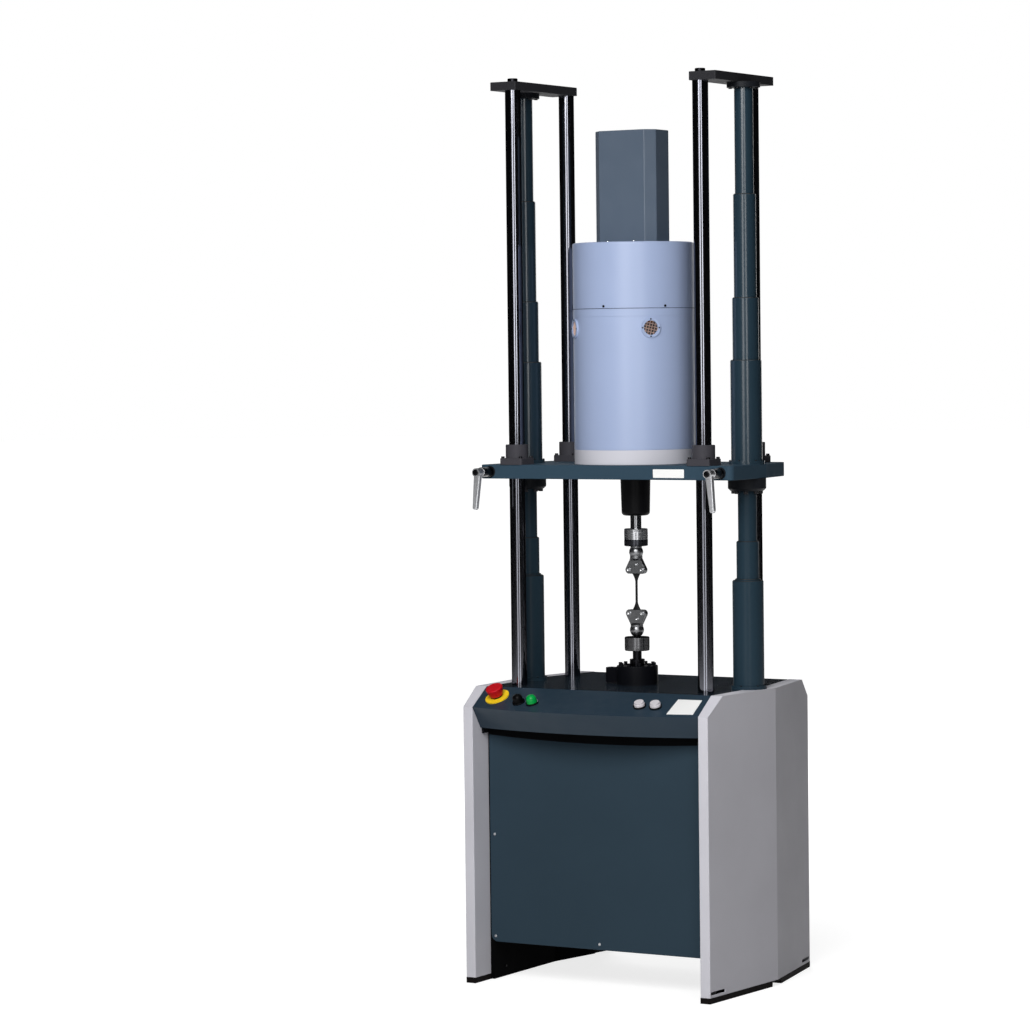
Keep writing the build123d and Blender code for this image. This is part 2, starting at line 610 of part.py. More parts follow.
fw = BUSH_FLANGE / 2
bush = block(-fw, fw, -fw, fw, cross_top, cross_top + BUSH_FLANGE_T)
bush = fillet(bush.edges().filter_by(Axis.Z), 4.0)
bush = chamfer(bush.edges().group_by(Axis.Z)[-1], 1.0)
bush_top = cross_top + BUSH_FLANGE_T + BUSH_H
barrel = cyl(BUSH_R, cross_top + BUSH_FLANGE_T, bush_top)
bush += fillet(barrel.edges().group_by(Axis.Z)[-1], 1.5)
bush -= cyl(COL_R + GUIDE_CLEAR, cross_top - 1, bush_top + 1)
save("guide_bushings", [Pos(sx * COL_X, sy * COL_Y, 0) * bush for sx in (-1, 1) for sy in (-1, 1)])

nut = cyl(NUT_FLANGE_R, nut_low, CROSS_Z, LIFT_X) + cyl(NUT_R, CROSS_Z, cross_top - SEAT, LIFT_X)
nut = chamfer(nut.edges().group_by(Axis.Z)[0], 6.0)
nut -= cyl(SCREW_R + NUT_CLEAR, nut_low - 1, cross_top + 1, LIFT_X)
save("lift_nuts", both_sides(nut))


# Clamp levers: hub along Y, handle hanging and splayed outwards
def lever(sx):
    y_hub = CROSS_FRONT_Y - LEVER_STAND
    down = Rot(90, 0, 0)
    eye = Pos(0, y_hub - LEVER_EYE_W / 2, 0) * down * Cylinder(LEVER_EYE_R, LEVER_EYE_W)
    hub_l = LEVER_STAND - SEAT
    hub = Pos(0, y_hub + hub_l / 2, 0) * down * Cylinder(LEVER_HUB_R, hub_l)
    hub = chamfer(hub.edges().group_by(Axis.Y)[0], 1.5)
    stud = Pos(0, CROSS_FRONT_Y + STUD_L / 2 - SEAT, 0) * down * Cylinder(STUD_R, STUD_L)
    e, w = LEVER_END_R, LEVER_EYE_R - 1.5
    arm = make_hull(Circle(w).edges() + (Pos(0, -LEVER_L + e) * Circle(e)).edges())
    arm_y = y_hub - (LEVER_EYE_W - LEVER_T) / 2
    arm = Pos(0, arm_y, 0) * extrude(Plane.XZ * arm, LEVER_T, dir=(0, -1, 0))
    arm = fillet(arm.edges().group_by(Axis.Y)[0], 2.5)
    whole = eye + hub + stud + arm
    return Pos(sx * LEVER_X, 0, LEVER_Z) * Rot(0, -sx * LEVER_SPLAY, 0) * whole


save("left_clamp_lever", lever(-1))
save("right_clamp_lever", lever(1))

# Actuator housing
ring_top = cross_top + ACT_RING_H
lower_top = ring_top + ACT_LOWER_H
upper_top = lower_top + ACT_UPPER_H
base_ring = chamfer(cyl(ACT_R, cross_top, ring_top).edges(), ACT_SEAM)
base_ring -= cyl(ACT_R - ACT_RING_WALL, cross_top - 1, ring_top + 1)
save("actuator_base_ring", base_ring)
shell = chamfer(cyl(ACT_R, ring_top, lower_top).edges(), ACT_SEAM)
shell -= cyl(ACT_R - ACT_WALL, ring_top - 1, lower_top + 1)
line_z = lower_top - ACT_LINE_DOWN
shell -= ring(ACT_R + 1, ACT_R - ACT_SEAM / 2, line_z - ACT_SEAM / 2, line_z + ACT_SEAM / 2)
port_z = lower_top - PORT_DOWN
for k in range(4):
    turn = Rot(0, 0, 45 + 90 * k)
    out = ACT_R + PORT_OUT
    boss = turn * Pos(out - PORT_L / 2, 0, port_z) * Rot(0, 90, 0) * Cylinder(PORT_R, PORT_L)
    shell += boss - cyl(ACT_R - ACT_WALL, ring_top, lower_top)
for k in range(4):
    turn = Rot(0, 0, 45 + 90 * k)
    shell -= turn * Pos(ACT_R, 0, port_z) * Rot(0, 90, 0) * Cylinder(PORT_BORE_R, PORT_L)
save("actuator_lower_shell", shell)
lid = cyl(ACT_R, lower_top, upper_top)
lid = chamfer(lid.edges().group_by(Axis.Z)[0], ACT_SEAM)
lid = fillet(lid.edges().group_by(Axis.Z)[-1], ACT_RIM_R)
lid -= cyl(ACT_R - ACT_WALL, lower_top - 1, upper_top - ACT_LID_T)
lid -= cyl(LID_HOLE_R, lower_top, upper_top + 1)
save("actuator_upper_shell", lid)


def octagon(hx, hy, c):
    return [(hx - c, -hy), (hx, c - hy), (hx, hy - c), (hx - c, hy), (c - hx, hy), (-hx, hy - c),
            (-hx, c - hy), (c - hx, -hy)]


box_plan = octagon(BOX_HALF_X, BOX_HALF_Y, BOX_CORNER)
top_cover = plan(box_plan, upper_top, upper_top + BOX_H)
top_cover = fillet(top_cover.edges().filter_by(Axis.Z), 3.0)
top_cover = fillet(top_cover.edges().group_by(Axis.Z)[-1], 2.0)
box_in = offset(Polygon(*box_plan, align=None), -SHEET, kind=Kind.INTERSECTION)
top_cover -= Pos(0, 0, upper_top - 1) * extrude(box_in, BOX_H - SHEET + 1, dir=(0, 0, 1))
save("actuator_top_cover", top_cover)

# Inside the housing: yoke, magnets, rod guides, stroke sensor
yoke = cyl(YOKE_R, YOKE_Z, YOKE_Z + YOKE_BASE_T) + ring(YOKE_R, YOKE_IN_R, YOKE_Z, YOKE_TOP)
yoke += cyl(POLE_R, YOKE_Z, YOKE_TOP)
yoke += ring(ACT_R - ACT_RING_WALL, POLE_R, cross_top + SLEEVE_FLANGE_T + SEAT, YOKE_Z)
yoke -= cyl(GUIDE_R, YOKE_Z - 1, YOKE_TOP + 1)
save("magnet_yoke", yoke)
save("magnet_ring", ring(YOKE_IN_R, MAGNET_IN_R, MAGNET_Z, MAGNET_Z + MAGNET_H))
guides = [ring(GUIDE_R, ROD_R + GUIDE_CLEAR, z, z + GUIDE_L) for z in (YOKE_Z, YOKE_TOP - GUIDE_L)]
save("rod_guides", guides)
save("stroke_sensor", ring(SENSOR_R, SENSOR_BORE_R, upper_top, upper_top + SENSOR_H))

sleeve_low = cross_top - SLEEVE_DOWN - CROSS_T
sleeve = Pos(0, 0, sleeve_low) * Cone(SLEEVE_LOW_R, SLEEVE_R, SLEEVE_DOWN, align=flare)
sleeve = fillet(sleeve.edges().group_by(Axis.Z)[0], SLEEVE_ROUND) + cyl(SLEEVE_R, CROSS_Z, cross_top)
sleeve += cyl(SLEEVE_FLANGE_R, cross_top, cross_top + SLEEVE_FLANGE_T)
sleeve -= cyl(ROD_R + SLEEVE_BORE_CLEAR, sleeve_low - 1, cross_top + SLEEVE_FLANGE_T + 1)
save("rod_sleeve", sleeve)

# Load cell and lower grip, built upwards from the table
cell_top = TABLE_Z + CELL_H
cell = fillet(cyl(CELL_R, TABLE_Z, cell_top).edges().group_by(Axis.Z)[-1], 2.0)
plug = block(-PLUG_X, 0, -PLUG_HALF_Y, PLUG_HALF_Y, TABLE_Z + PLUG_UP, TABLE_Z + PLUG_UP + PLUG_H)
plug = fillet(plug.edges().filter_by(Axis.Z).group_by(Axis.X)[0], PLUG_ROUND)
cell += fillet(plug.edges().group_by(Axis.Z)[-1].group_by(Axis.X)[0], 2.0)
for k in range(CELL_BOLTS):
    a = 2 * math.pi * (k + 0.5) / CELL_BOLTS
    bx, by = CELL_BOLT_PCR * math.cos(a), CELL_BOLT_PCR * math.sin(a)
    cell += cyl(CELL_BOLT_R, cell_top - 1, cell_top + CELL_BOLT_H, bx, by)
save("load_cell", cell)
collar_top = cell_top + COLLAR_H
disc_low = collar_top + NECK_H
save("lower_stud", cyl(COLLAR_R, cell_top, collar_top) + cyl(NECK_R, collar_top, disc_low))
disc_top = disc_low + LOW_DISC_H


def lock_disc(r, z0, z1, notch_top):
    disc = chamfer(cyl(r, z0, z1).edges().filter_by(GeomType.CIRCLE), DISC_CHAMFER / 2)
    line = z0 + DISC_LINE * (z1 - z0)
    disc -= ring(r + 1, r - DISC_GROOVE, line - DISC_GROOVE / 2, line + DISC_GROOVE / 2)
    n0, n1 = (z1 - DISC_NOTCH_H, z1 + 1) if notch_top else (z0 - 1, z0 + DISC_NOTCH_H)
    for k in range(4):
        notch = block(r - DISC_NOTCH_D, r + 1, -DISC_NOTCH_W / 2, DISC_NOTCH_W / 2, n0, n1)
        disc -= Rot(0, 0, 30 + 90 * k) * notch
    return disc


save("lower_lock_disc", lock_disc(LOW_DISC_R, disc_low, disc_top, False))


def grip_profile(ear_z, s, y0, y1, far, half):
    ear_x = GRIP_HALF - GRIP_EAR_R
    slope = ear_z + s * GRIP_SLOPE_H
    shape = front_view([(-ear_x, ear_z), (ear_x, ear_z), (GRIP_SLOPE_X, slope), (half, far), (-half, far),
                        (-GRIP_SLOPE_X, slope)], y0, y1)
    for sx in (-1, 1):
        ear = Pos(sx * ear_x, (y0 + y1) / 2, ear_z + s * GRIP_EAR_R) * Rot(90, 0, 0)
        shape += ear * Cylinder(GRIP_EAR_R, y1 - y0)
    return shape


def grip(ear_z, up, ball_z, limit_z):
    s = 1 if up else -1
    body = grip_profile(ear_z, s, GRIP_FRONT_Y, GRIP_REAR_Y, ear_z + s * GRIP_H, GRIP_WAIST)
    body += Pos(0, 0, ball_z) * Sphere(BALL_R)
    neck_z = ear_z + s * (JAW_H + JAW_GAP)
    neck = cyl(GRIP_NECK_R, *sorted((neck_z, ball_z)))
    body += chamfer(neck.edges().group_by(Axis.Z)[0 if up else -1], GRIP_NECK_EDGE)
    z0, z1 = sorted((ear_z - s, neck_z))
    body -= block(-GRIP_HALF - 1, GRIP_HALF + 1, GRIP_FRONT_Y - 20, SPEC_T / 2, z0, z1)
    c0, c1 = sorted((limit_z, limit_z + s * 100))
    return body - block(-100, 100, -100, 100, c0, c1)


def jaw(ear_z, up):
    s = 1 if up else -1
    share = (JAW_H - GRIP_SLOPE_H) / (GRIP_H - GRIP_SLOPE_H)
    half = GRIP_SLOPE_X + (GRIP_WAIST - GRIP_SLOPE_X) * share
    plate = grip_profile(ear_z, s, GRIP_FRONT_Y, -SPEC_T / 2, ear_z + s * JAW_H, half)
    return chamfer(plate.edges().group_by(Axis.Y)[0], GRIP_EDGE)


low_waist = disc_top + BALL_UP + BALL_IN
low_ear = low_waist + GRIP_H
save("lower_grip_body", grip(low_ear, False, disc_top + BALL_UP, disc_top))
save("lower_jaw_plate", jaw(low_ear, False))
up_ear = low_ear + GRIP_SPACE
up_disc = up_ear + UP_EAR_TO_DISC
upper_body = grip(up_ear, True, up_disc - UP_BALL_DOWN, up_disc)
upper_body += cyl(UP_NECK_R, up_disc - UP_BALL_DOWN, up_disc)
save("upper_grip_body", upper_body)
save("upper_jaw_plate", jaw(up_ear, True))

# Dumbbell specimen between the jaws
g, w = SPEC_GAUGE_HALF, SPEC_TAB_HALF
s0, s1, s2, s3 = low_ear - SPEC_TAB_IN, low_ear, low_ear + SPEC_TAPER, up_ear - SPEC_TAPER
s5 = up_ear + SPEC_TAB_IN
outline = [(-w, s0), (w, s0), (w, s1), (g, s2), (g, s3), (w, up_ear), (w, s5), (-w, s5), (-w, up_ear),
           (-g, s3), (-g, s2), (-w, s1)]
save("test_specimen", front_view(outline, -SPEC_T / 2, SPEC_T / 2))

# Moving rod, coil and upper disc
up_disc_top = up_disc + UP_DISC_H
save("upper_lock_disc", lock_disc(UP_DISC_R, up_disc, up_disc_top, True))
save("actuator_rod", cyl(ROD_R, up_disc_top, ROD_TOP) + cyl(CORE_R, ROD_TOP, CORE_TOP))
coil = ring(COIL_R, COIL_IN_R, COIL_Z, COIL_Z + COIL_H)
coil += ring(COIL_R, COIL_R - COIL_GAP, COIL_Z + COIL_H, SPIDER_Z)
coil += ring(COIL_R, ROD_R, SPIDER_Z, SPIDER_Z + SPIDER_T)
save("moving_coil", coil)
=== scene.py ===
# %% [markdown]
# # A universal testing machine, dressed for its photograph
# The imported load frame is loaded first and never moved. It gives every solid its place in metres, with the
# load axis at X = 0, Y = 0 and the floor at Z = 0. All that follows only adds finishes, small fasteners,
# plates and the soft specimen.

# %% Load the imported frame
import math

import bmesh
import bpy
from mathutils import Matrix, Vector
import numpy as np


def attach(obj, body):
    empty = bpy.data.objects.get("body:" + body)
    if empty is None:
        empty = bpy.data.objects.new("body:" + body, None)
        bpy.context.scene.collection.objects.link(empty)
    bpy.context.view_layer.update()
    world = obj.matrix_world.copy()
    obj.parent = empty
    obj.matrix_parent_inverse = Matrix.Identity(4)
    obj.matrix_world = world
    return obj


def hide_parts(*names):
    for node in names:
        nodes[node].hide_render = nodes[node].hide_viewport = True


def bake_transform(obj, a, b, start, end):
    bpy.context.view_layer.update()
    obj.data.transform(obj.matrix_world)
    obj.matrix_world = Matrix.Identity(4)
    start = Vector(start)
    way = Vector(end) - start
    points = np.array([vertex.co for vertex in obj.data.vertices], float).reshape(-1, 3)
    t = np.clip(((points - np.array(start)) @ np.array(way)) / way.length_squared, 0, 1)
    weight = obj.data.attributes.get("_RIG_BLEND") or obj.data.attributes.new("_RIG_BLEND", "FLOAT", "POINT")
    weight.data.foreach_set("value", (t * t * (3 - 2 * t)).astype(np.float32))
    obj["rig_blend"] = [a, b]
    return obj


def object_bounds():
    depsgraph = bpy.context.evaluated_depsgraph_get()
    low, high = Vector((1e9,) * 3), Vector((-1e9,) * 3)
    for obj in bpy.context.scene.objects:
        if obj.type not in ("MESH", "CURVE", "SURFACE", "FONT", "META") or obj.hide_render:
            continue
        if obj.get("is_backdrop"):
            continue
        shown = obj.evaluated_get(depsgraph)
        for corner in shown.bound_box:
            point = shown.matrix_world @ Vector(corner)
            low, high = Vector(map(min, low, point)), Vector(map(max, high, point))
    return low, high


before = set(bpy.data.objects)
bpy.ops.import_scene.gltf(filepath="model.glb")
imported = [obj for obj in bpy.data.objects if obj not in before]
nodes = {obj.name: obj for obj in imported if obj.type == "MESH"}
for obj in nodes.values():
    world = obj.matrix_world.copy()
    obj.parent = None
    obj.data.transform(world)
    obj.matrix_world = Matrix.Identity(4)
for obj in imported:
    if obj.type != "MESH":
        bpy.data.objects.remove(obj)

scene = bpy.context.scene
cad_low, cad_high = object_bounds()
print("solids:", len(nodes), "size in metres:", [round(v, 3) for v in cad_high - cad_low])

# %% [markdown]
# ## Camera
# The photograph was taken with a long lens from a good nine metres, a little above the crosshead, with the
# machine turned by 31 degrees. The place, the three turns and the focal length in pixels were worked out from
# points that can be named on the object. A camera can be aimed with a constraint, but a matrix written from
# its three axes also keeps the small roll, so that is used here.

# %% Camera from its axes
CAMERA_AT = Vector((4.4287, -7.9182, 1.5317))
YAW, PITCH, ROLL = (math.radians(a) for a in (31.079, -2.496, -0.682))
FOCAL_PIXELS, FRAME_PIXELS, SENSOR_MM = 3721.9, 1030, 36

ahead = Vector((-math.sin(YAW) * math.cos(PITCH), math.cos(YAW) * math.cos(PITCH), math.sin(PITCH)))
level = Vector((math.cos(YAW), math.sin(YAW), 0))
above = level.cross(ahead)
right = math.cos(ROLL) * level + math.sin(ROLL) * above
top = math.cos(ROLL) * above - math.sin(ROLL) * level
camera = bpy.data.objects.new("camera", bpy.data.cameras.new("camera"))
scene.collection.objects.link(camera)
camera.matrix_world = Matrix((right, top, -ahead)).transposed().to_4x4()
camera.matrix_world.translation = CAMERA_AT
camera.data.sensor_width = SENSOR_MM
camera.data.lens = FOCAL_PIXELS / FRAME_PIXELS * SENSOR_MM
camera.data.clip_end = 200
scene.camera = camera
print("lens in mm:", round(camera.data.lens, 2))

# %% [markdown]
# ## Light, flags, floor and white surroundings
# A large softbox high at the front is the main light. Two tall strips left and right of the lens give the
# upright streaks that every column, tube and drum shows near its middle. A sun or a point lamp would leave
# hard little glints instead. The world is dim for the light that it casts and plain white for what the lens
# and the mirrors see, so the background is white without more light on the machine. In an all-white room
# polished steel has no edges, so dark flags stand behind the lamps, as they do in a photographer's studio,
# and one more stands where the glossy table mirrors it. The floor is pale and keeps the machine's shadow. Its
# lift towards white grows with the distance, so that no horizon line shows.

# %% Softboxes
scene.view_settings.view_transform = "Standard"
AIM = Vector((0.0, 0.0, 1.15))


def toward(azimuth, elevation=0.0):
    a, e = math.radians(azimuth), math.radians(elevation)
    return Vector((math.sin(a) * math.cos(e), -math.cos(a) * math.cos(e), math.sin(e)))


def softbox(name, azimuth, elevation, distance, width, height, power, mirrored=True):
    lamp = bpy.data.lights.new(name, "AREA")
    lamp.shape, lamp.size, lamp.size_y, lamp.energy = "RECTANGLE", width, height, power
    obj = bpy.data.objects.new(name, lamp)
    scene.collection.objects.link(obj)
    away = toward(azimuth, elevation)
    obj.location = AIM + away * distance
    obj.rotation_mode = "QUATERNION"
    obj.rotation_quaternion = (-away).to_track_quat("-Z", "Y")
    obj.visible_camera, obj.visible_glossy = False, mirrored


LOW_SHARE = 0.2  # of the upper strip's power
softbox("high_key", azimuth=16, elevation=29, distance=5.0, width=2.2, height=2.2, power=182)
for side, azimuth, width, power in (("left", 12, 0.9, 27), ("right", 41, 0.6, 34)):
    watts = power * width
    softbox(side + "_strip_high", azimuth, 21, distance=3.43, width=width, height=2.4, power=watts)
    softbox(side + "_strip_low", azimuth, -9, distance=3.24, width=width, height=1.1, power=watts * LOW_SHARE)
softbox("back_fill", azimuth=215, elevation=18, distance=5.0, width=2.4, height=2.6, power=150, mirrored=False)

# %% World: dim for light, white for lens, mirror and glass
AMBIENT = 0.06


def seen_directly(tree):
    path = tree.nodes.new("ShaderNodeLightPath")
    total = None
    for ray in ("Is Camera Ray", "Is Glossy Ray", "Is Transmission Ray"):
        if total is None:
            total = path.outputs[ray]
            continue
        larger = tree.nodes.new("ShaderNodeMath")
        larger.operation = "MAXIMUM"
        tree.links.new(total, larger.inputs[0])
        tree.links.new(path.outputs[ray], larger.inputs[1])
        total = larger.outputs[0]
    return total


def lifted(tree, low, high, socket):
    between = tree.nodes.new("ShaderNodeMapRange")
    between.inputs["To Min"].default_value = low
    if isinstance(high, float):
        between.inputs["To Max"].default_value = high
    else:
        tree.links.new(high, between.inputs["To Max"])
    tree.links.new(seen_directly(tree), between.inputs["Value"])
    tree.links.new(between.outputs["Result"], socket)


world = bpy.data.worlds.new("white_studio")
world.use_nodes = True
scene.world = world
sky = world.node_tree.nodes["Background"]
sky.inputs["Color"].default_value = (1, 1, 1, 1)
lifted(world.node_tree, AMBIENT, 1.0, sky.inputs["Strength"])
print("world lights with:", AMBIENT)

# %% Dark flags behind the lamps, out of the lens's sight
FLAG_RADIUS, FLAG_STEP, FLAG_CLOTH = 8.0, 5, (0.01, 0.01, 0.011, 1)
FLAGS = (  # from and to azimuth, low and top edge
    (-125, 180, -0.2, 16.0),
    (180, 235, 4.5, 16.0),
    (195, 225, 0.75, 3.2),  # mirrored in the table
)


def stage_piece(name, bm, material):
    mesh = bpy.data.meshes.new(name)
    bm.to_mesh(mesh)
    bm.free()
    mesh.materials.append(material)
    obj = bpy.data.objects.new(name, mesh)
    scene.collection.objects.link(obj)
    return obj


cloth = bpy.data.materials.new("flag_cloth")
cloth.use_nodes = True
cloth.node_tree.nodes["Principled BSDF"].inputs["Base Color"].default_value = FLAG_CLOTH
cloth.node_tree.nodes["Principled BSDF"].inputs["Roughness"].default_value = 1.0
bm = bmesh.new()
for first, last, low, high in FLAGS:
    posts = []
    for azimuth in range(first, last + 1, FLAG_STEP):
        foot = toward(azimuth) * FLAG_RADIUS
        posts.append([bm.verts.new(foot + Vector((0, 0, z))) for z in (low, high)])
    for (a, b), (c, d) in zip(posts, posts[1:]):
        bm.faces.new((a, c, d, b))
flags = stage_piece("dark_flags", bm, cloth)
flags.visible_camera = flags.visible_diffuse = flags.visible_shadow = flags.visible_transmission = False
flags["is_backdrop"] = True
print("flag panels:", len(flags.data.polygons))

# %% Floor
FLOOR_RADIUS, FLOOR_DROP, FLOOR_GREY = 60, 0.0005, (0.36, 0.36, 0.36, 1)
NEAR_LIFT, FAR_LIFT, SHADOW_REACH, WHITE_FROM = 0.8, 1.0, 0.7, 2.4
pale = bpy.data.materials.new("pale_floor")
pale.use_nodes = True
floor_tree = pale.node_tree
matt = floor_tree.nodes["Principled BSDF"]
matt.inputs["Base Color"].default_value = FLOOR_GREY
matt.inputs["Roughness"].default_value = 0.9
matt.inputs["Specular IOR Level"].default_value = 0.1
matt.inputs["Emission Color"].default_value = (1, 1, 1, 1)
away = floor_tree.nodes.new("ShaderNodeVectorMath")
away.operation = "LENGTH"
floor_tree.links.new(floor_tree.nodes.new("ShaderNodeTexCoord").outputs["Object"], away.inputs[0])
whiter = floor_tree.nodes.new("ShaderNodeMapRange")
for socket, value in zip(whiter.inputs[1:5], (SHADOW_REACH, WHITE_FROM, NEAR_LIFT, FAR_LIFT)):
    socket.default_value = value
floor_tree.links.new(away.outputs["Value"], whiter.inputs["Value"])
lifted(floor_tree, 0.0, whiter.outputs["Result"], matt.inputs["Emission Strength"])
bm = bmesh.new()
bmesh.ops.create_circle(bm, cap_ends=True, segments=96, radius=FLOOR_RADIUS)
floor = stage_piece("floor", bm, pale)
floor.location.z = -FLOOR_DROP
floor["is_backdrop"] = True
print("floor radius in metres:", FLOOR_RADIUS)

# %% [markdown]
# ## Finishes
# Paint, metal, rubber and plastic are all built from the same few steps: noise in object coordinates drives a
# small change of colour, of roughness and of relief. An image would be quicker to paste on, but noise holds
# at any distance, needs no unwrapping and rides with its piece. Whatever is the same all over a surface is
# set on the shader itself.

# %% Steps that every finish shares
NOISE_LOW, NOISE_HIGH = 0.3, 0.7  # where nearly all of the noise's values lie


def srgb(r, g, b):
    values = [c / 255 for c in (r, g, b)]
    return tuple(c / 12.92 if c <= 0.04045 else ((c + 0.055) / 1.055) ** 2.4 for c in values) + (1.0,)


def tinted(colour, factor):
    return tuple(min(1.0, c * factor) for c in colour[:3]) + (1.0,)


def start_finish(name):
    material = bpy.data.materials.new(name)
    material.use_nodes = True
    tree = material.node_tree
    return material, tree, tree.nodes["Principled BSDF"], tree.nodes.new("ShaderNodeTexCoord").outputs["Object"]


def noise(tree, coords, scale, detail=2.0, stretch=(1.0, 1.0, 1.0)):
    mapping = tree.nodes.new("ShaderNodeMapping")
    mapping.inputs["Scale"].default_value = stretch
    tree.links.new(coords, mapping.inputs["Vector"])
    grain = tree.nodes.new("ShaderNodeTexNoise")
    grain.inputs["Scale"].default_value = scale
    grain.inputs["Detail"].default_value = detail
    tree.links.new(mapping.outputs["Vector"], grain.inputs["Vector"])
    return grain.outputs[0]


def colour_by(tree, factor, low, high, socket):
    ramp = tree.nodes.new("ShaderNodeValToRGB")
    for element, place, colour in zip(ramp.color_ramp.elements, (NOISE_LOW, NOISE_HIGH), (low, high)):
        element.position, element.color = place, colour
    tree.links.new(factor, ramp.inputs["Fac"])
    tree.links.new(ramp.outputs["Color"], socket)


def value_by(tree, factor, low, high, socket):
    ranged = tree.nodes.new("ShaderNodeMapRange")
    limits = (("From Min", NOISE_LOW), ("From Max", NOISE_HIGH), ("To Min", low), ("To Max", high))
    for name, value in limits:
        ranged.inputs[name].default_value = value
    tree.links.new(factor, ranged.inputs["Value"])
    tree.links.new(ranged.outputs["Result"], socket)


def relief(tree, factor, height, strength, shader):
    bump = tree.nodes.new("ShaderNodeBump")
    bump.inputs["Strength"].default_value = strength
    bump.inputs["Distance"].default_value = height
    tree.links.new(factor, bump.inputs["Height"])
    tree.links.new(bump.outputs["Normal"], shader.inputs["Normal"])


print("finish steps ready")

# %% [markdown]
# ### Sprayed paint
# The covers, panels, tubes and drum are sprayed and baked sheet metal. Close up such paint has orange peel,
# soft dimples about a millimetre wide, and from further off it is faintly cloudy where the film is thicker.
# Fine noise makes the dimples as relief, and broad noise makes the clouds.

# %% Sprayed paint
CLOUD_SCALE, UNEVEN_SCALE, PEEL_SCALE, PEEL_HEIGHT, COAT_ROUGH = 3.2, 24.0, 620.0, 0.0003, 0.18


def sprayed_paint(name, colour, rough, gloss=0.12, peel=0.12, cloud=0.05, coat=0.0, uneven=0.05):
    material, tree, shader, coords = start_finish(name)
    clouds, patches = noise(tree, coords, CLOUD_SCALE, 4.0), noise(tree, coords, UNEVEN_SCALE, 3.0)
    colour_by(tree, clouds, tinted(colour, 1 - cloud), tinted(colour, 1 + cloud), shader.inputs["Base Color"])
    value_by(tree, patches, rough - uneven, rough + uneven, shader.inputs["Roughness"])
    relief(tree, noise(tree, coords, PEEL_SCALE, 1.0), PEEL_HEIGHT, peel, shader)
    shader.inputs["Specular IOR Level"].default_value = gloss
    shader.inputs["Coat Weight"].default_value = coat
    shader.inputs["Coat Roughness"].default_value = COAT_ROUGH
    return material


slate_paint = sprayed_paint("slate_paint", srgb(45, 60, 71), 0.55, gloss=0.05)
console_slate = sprayed_paint("console_slate", srgb(34, 50, 63), 0.45, gloss=0.25)
crosshead_slate = sprayed_paint("crosshead_slate", srgb(48, 67, 81), 0.5, gloss=0.06)
table_slate = sprayed_paint("table_slate", srgb(32, 41, 50), 0.16, gloss=0.4, peel=0.015, uneven=0.015)
tube_slate = sprayed_paint("tube_slate", srgb(31, 48, 59), 0.4, gloss=0.06, coat=1.0)
lower_tube_slate = sprayed_paint("lower_tube_slate", srgb(33, 50, 61), 0.45, gloss=0.06, coat=0.12)
cover_grey = sprayed_paint("cover_grey", srgb(199, 198, 205), 0.5, gloss=0.1)
drum_lavender = sprayed_paint("drum_lavender", srgb(150, 164, 195), 0.36, gloss=0.45, peel=0.06, cloud=0.02)
ring_pale = sprayed_paint("ring_pale", srgb(190, 190, 198), 0.45, gloss=0.2, cloud=0.03)
hood_graphite = sprayed_paint("hood_graphite", srgb(78, 90, 105), 0.36, gloss=0.45)
bracket_black = sprayed_paint("bracket_black", srgb(41, 41, 44), 0.5, gloss=0.08, peel=0.2)
flange_black = sprayed_paint("flange_black", srgb(24, 26, 30), 0.45, gloss=0.08, peel=0.25)
cell_black = sprayed_paint("cell_black", srgb(11, 12, 16), 0.42, gloss=0.06, peel=0.1)
frame_black = sprayed_paint("frame_black", srgb(7, 7, 8), 0.7, gloss=0.01, peel=0.3)
sleeve_black = sprayed_paint("sleeve_black", srgb(13, 13, 15), 0.38, gloss=0.06, peel=0.05)
bushing_black = sprayed_paint("bushing_black", srgb(61, 60, 65), 0.45, gloss=0.08, peel=0.1)
plate_white = sprayed_paint("plate_white", srgb(232, 232, 231), 0.5, gloss=0.2, peel=0.05, cloud=0.02)
# Black for the drum's dark joint, and for the strip of painted shadow under the console's lip.
black_joint_and_painted_shadow = sprayed_paint("black_joint_and_painted_shadow", srgb(12, 13, 15), 0.7, gloss=0.02, peel=0.3)
print("paints ready")

# %% [markdown]
# ### Bare metal
# Hard chrome on the columns is ground along its length and mirrors the room in upright streaks. Turned steel
# carries rings from the lathe tool, so its noise is squeezed along the axis and stretched around it. Cast
# levers are duller and speckled. The upper lock disc is two rings in one, and its colour changes at a height.

# %% Bare metal
ALONG, RINGED, TURNED, EVEN = (1, 1, 0.012), (0.04, 0.04, 1), (0.05, 0.05, 1), (1, 1, 1)
STAIN_SCALE, SMOOTHEST, ROUGHEST = 9.0, 0.8, 1.2


def metal_skin(tree, shader, lines, rough, height, strength):
    value_by(tree, lines, rough * SMOOTHEST, rough * ROUGHEST, shader.inputs["Roughness"])
    relief(tree, lines, height, strength, shader)
    shader.inputs["Metallic"].default_value = 1.0


def bare_metal(name, colour, rough, scale, stretch, height=0.00004, strength=0.15, shift=0.12, rim=1.0):
    material, tree, shader, coords = start_finish(name)
    lines = noise(tree, coords, scale, 2.0, stretch)
    stains = noise(tree, coords, STAIN_SCALE, 4.0)
    colour_by(tree, stains, tinted(colour, 1 - shift), tinted(colour, 1 + shift), shader.inputs["Base Color"])
    metal_skin(tree, shader, lines, rough, height, strength)
    shader.inputs["Specular Tint"].default_value = (rim, rim, rim, 1.0)
    return material


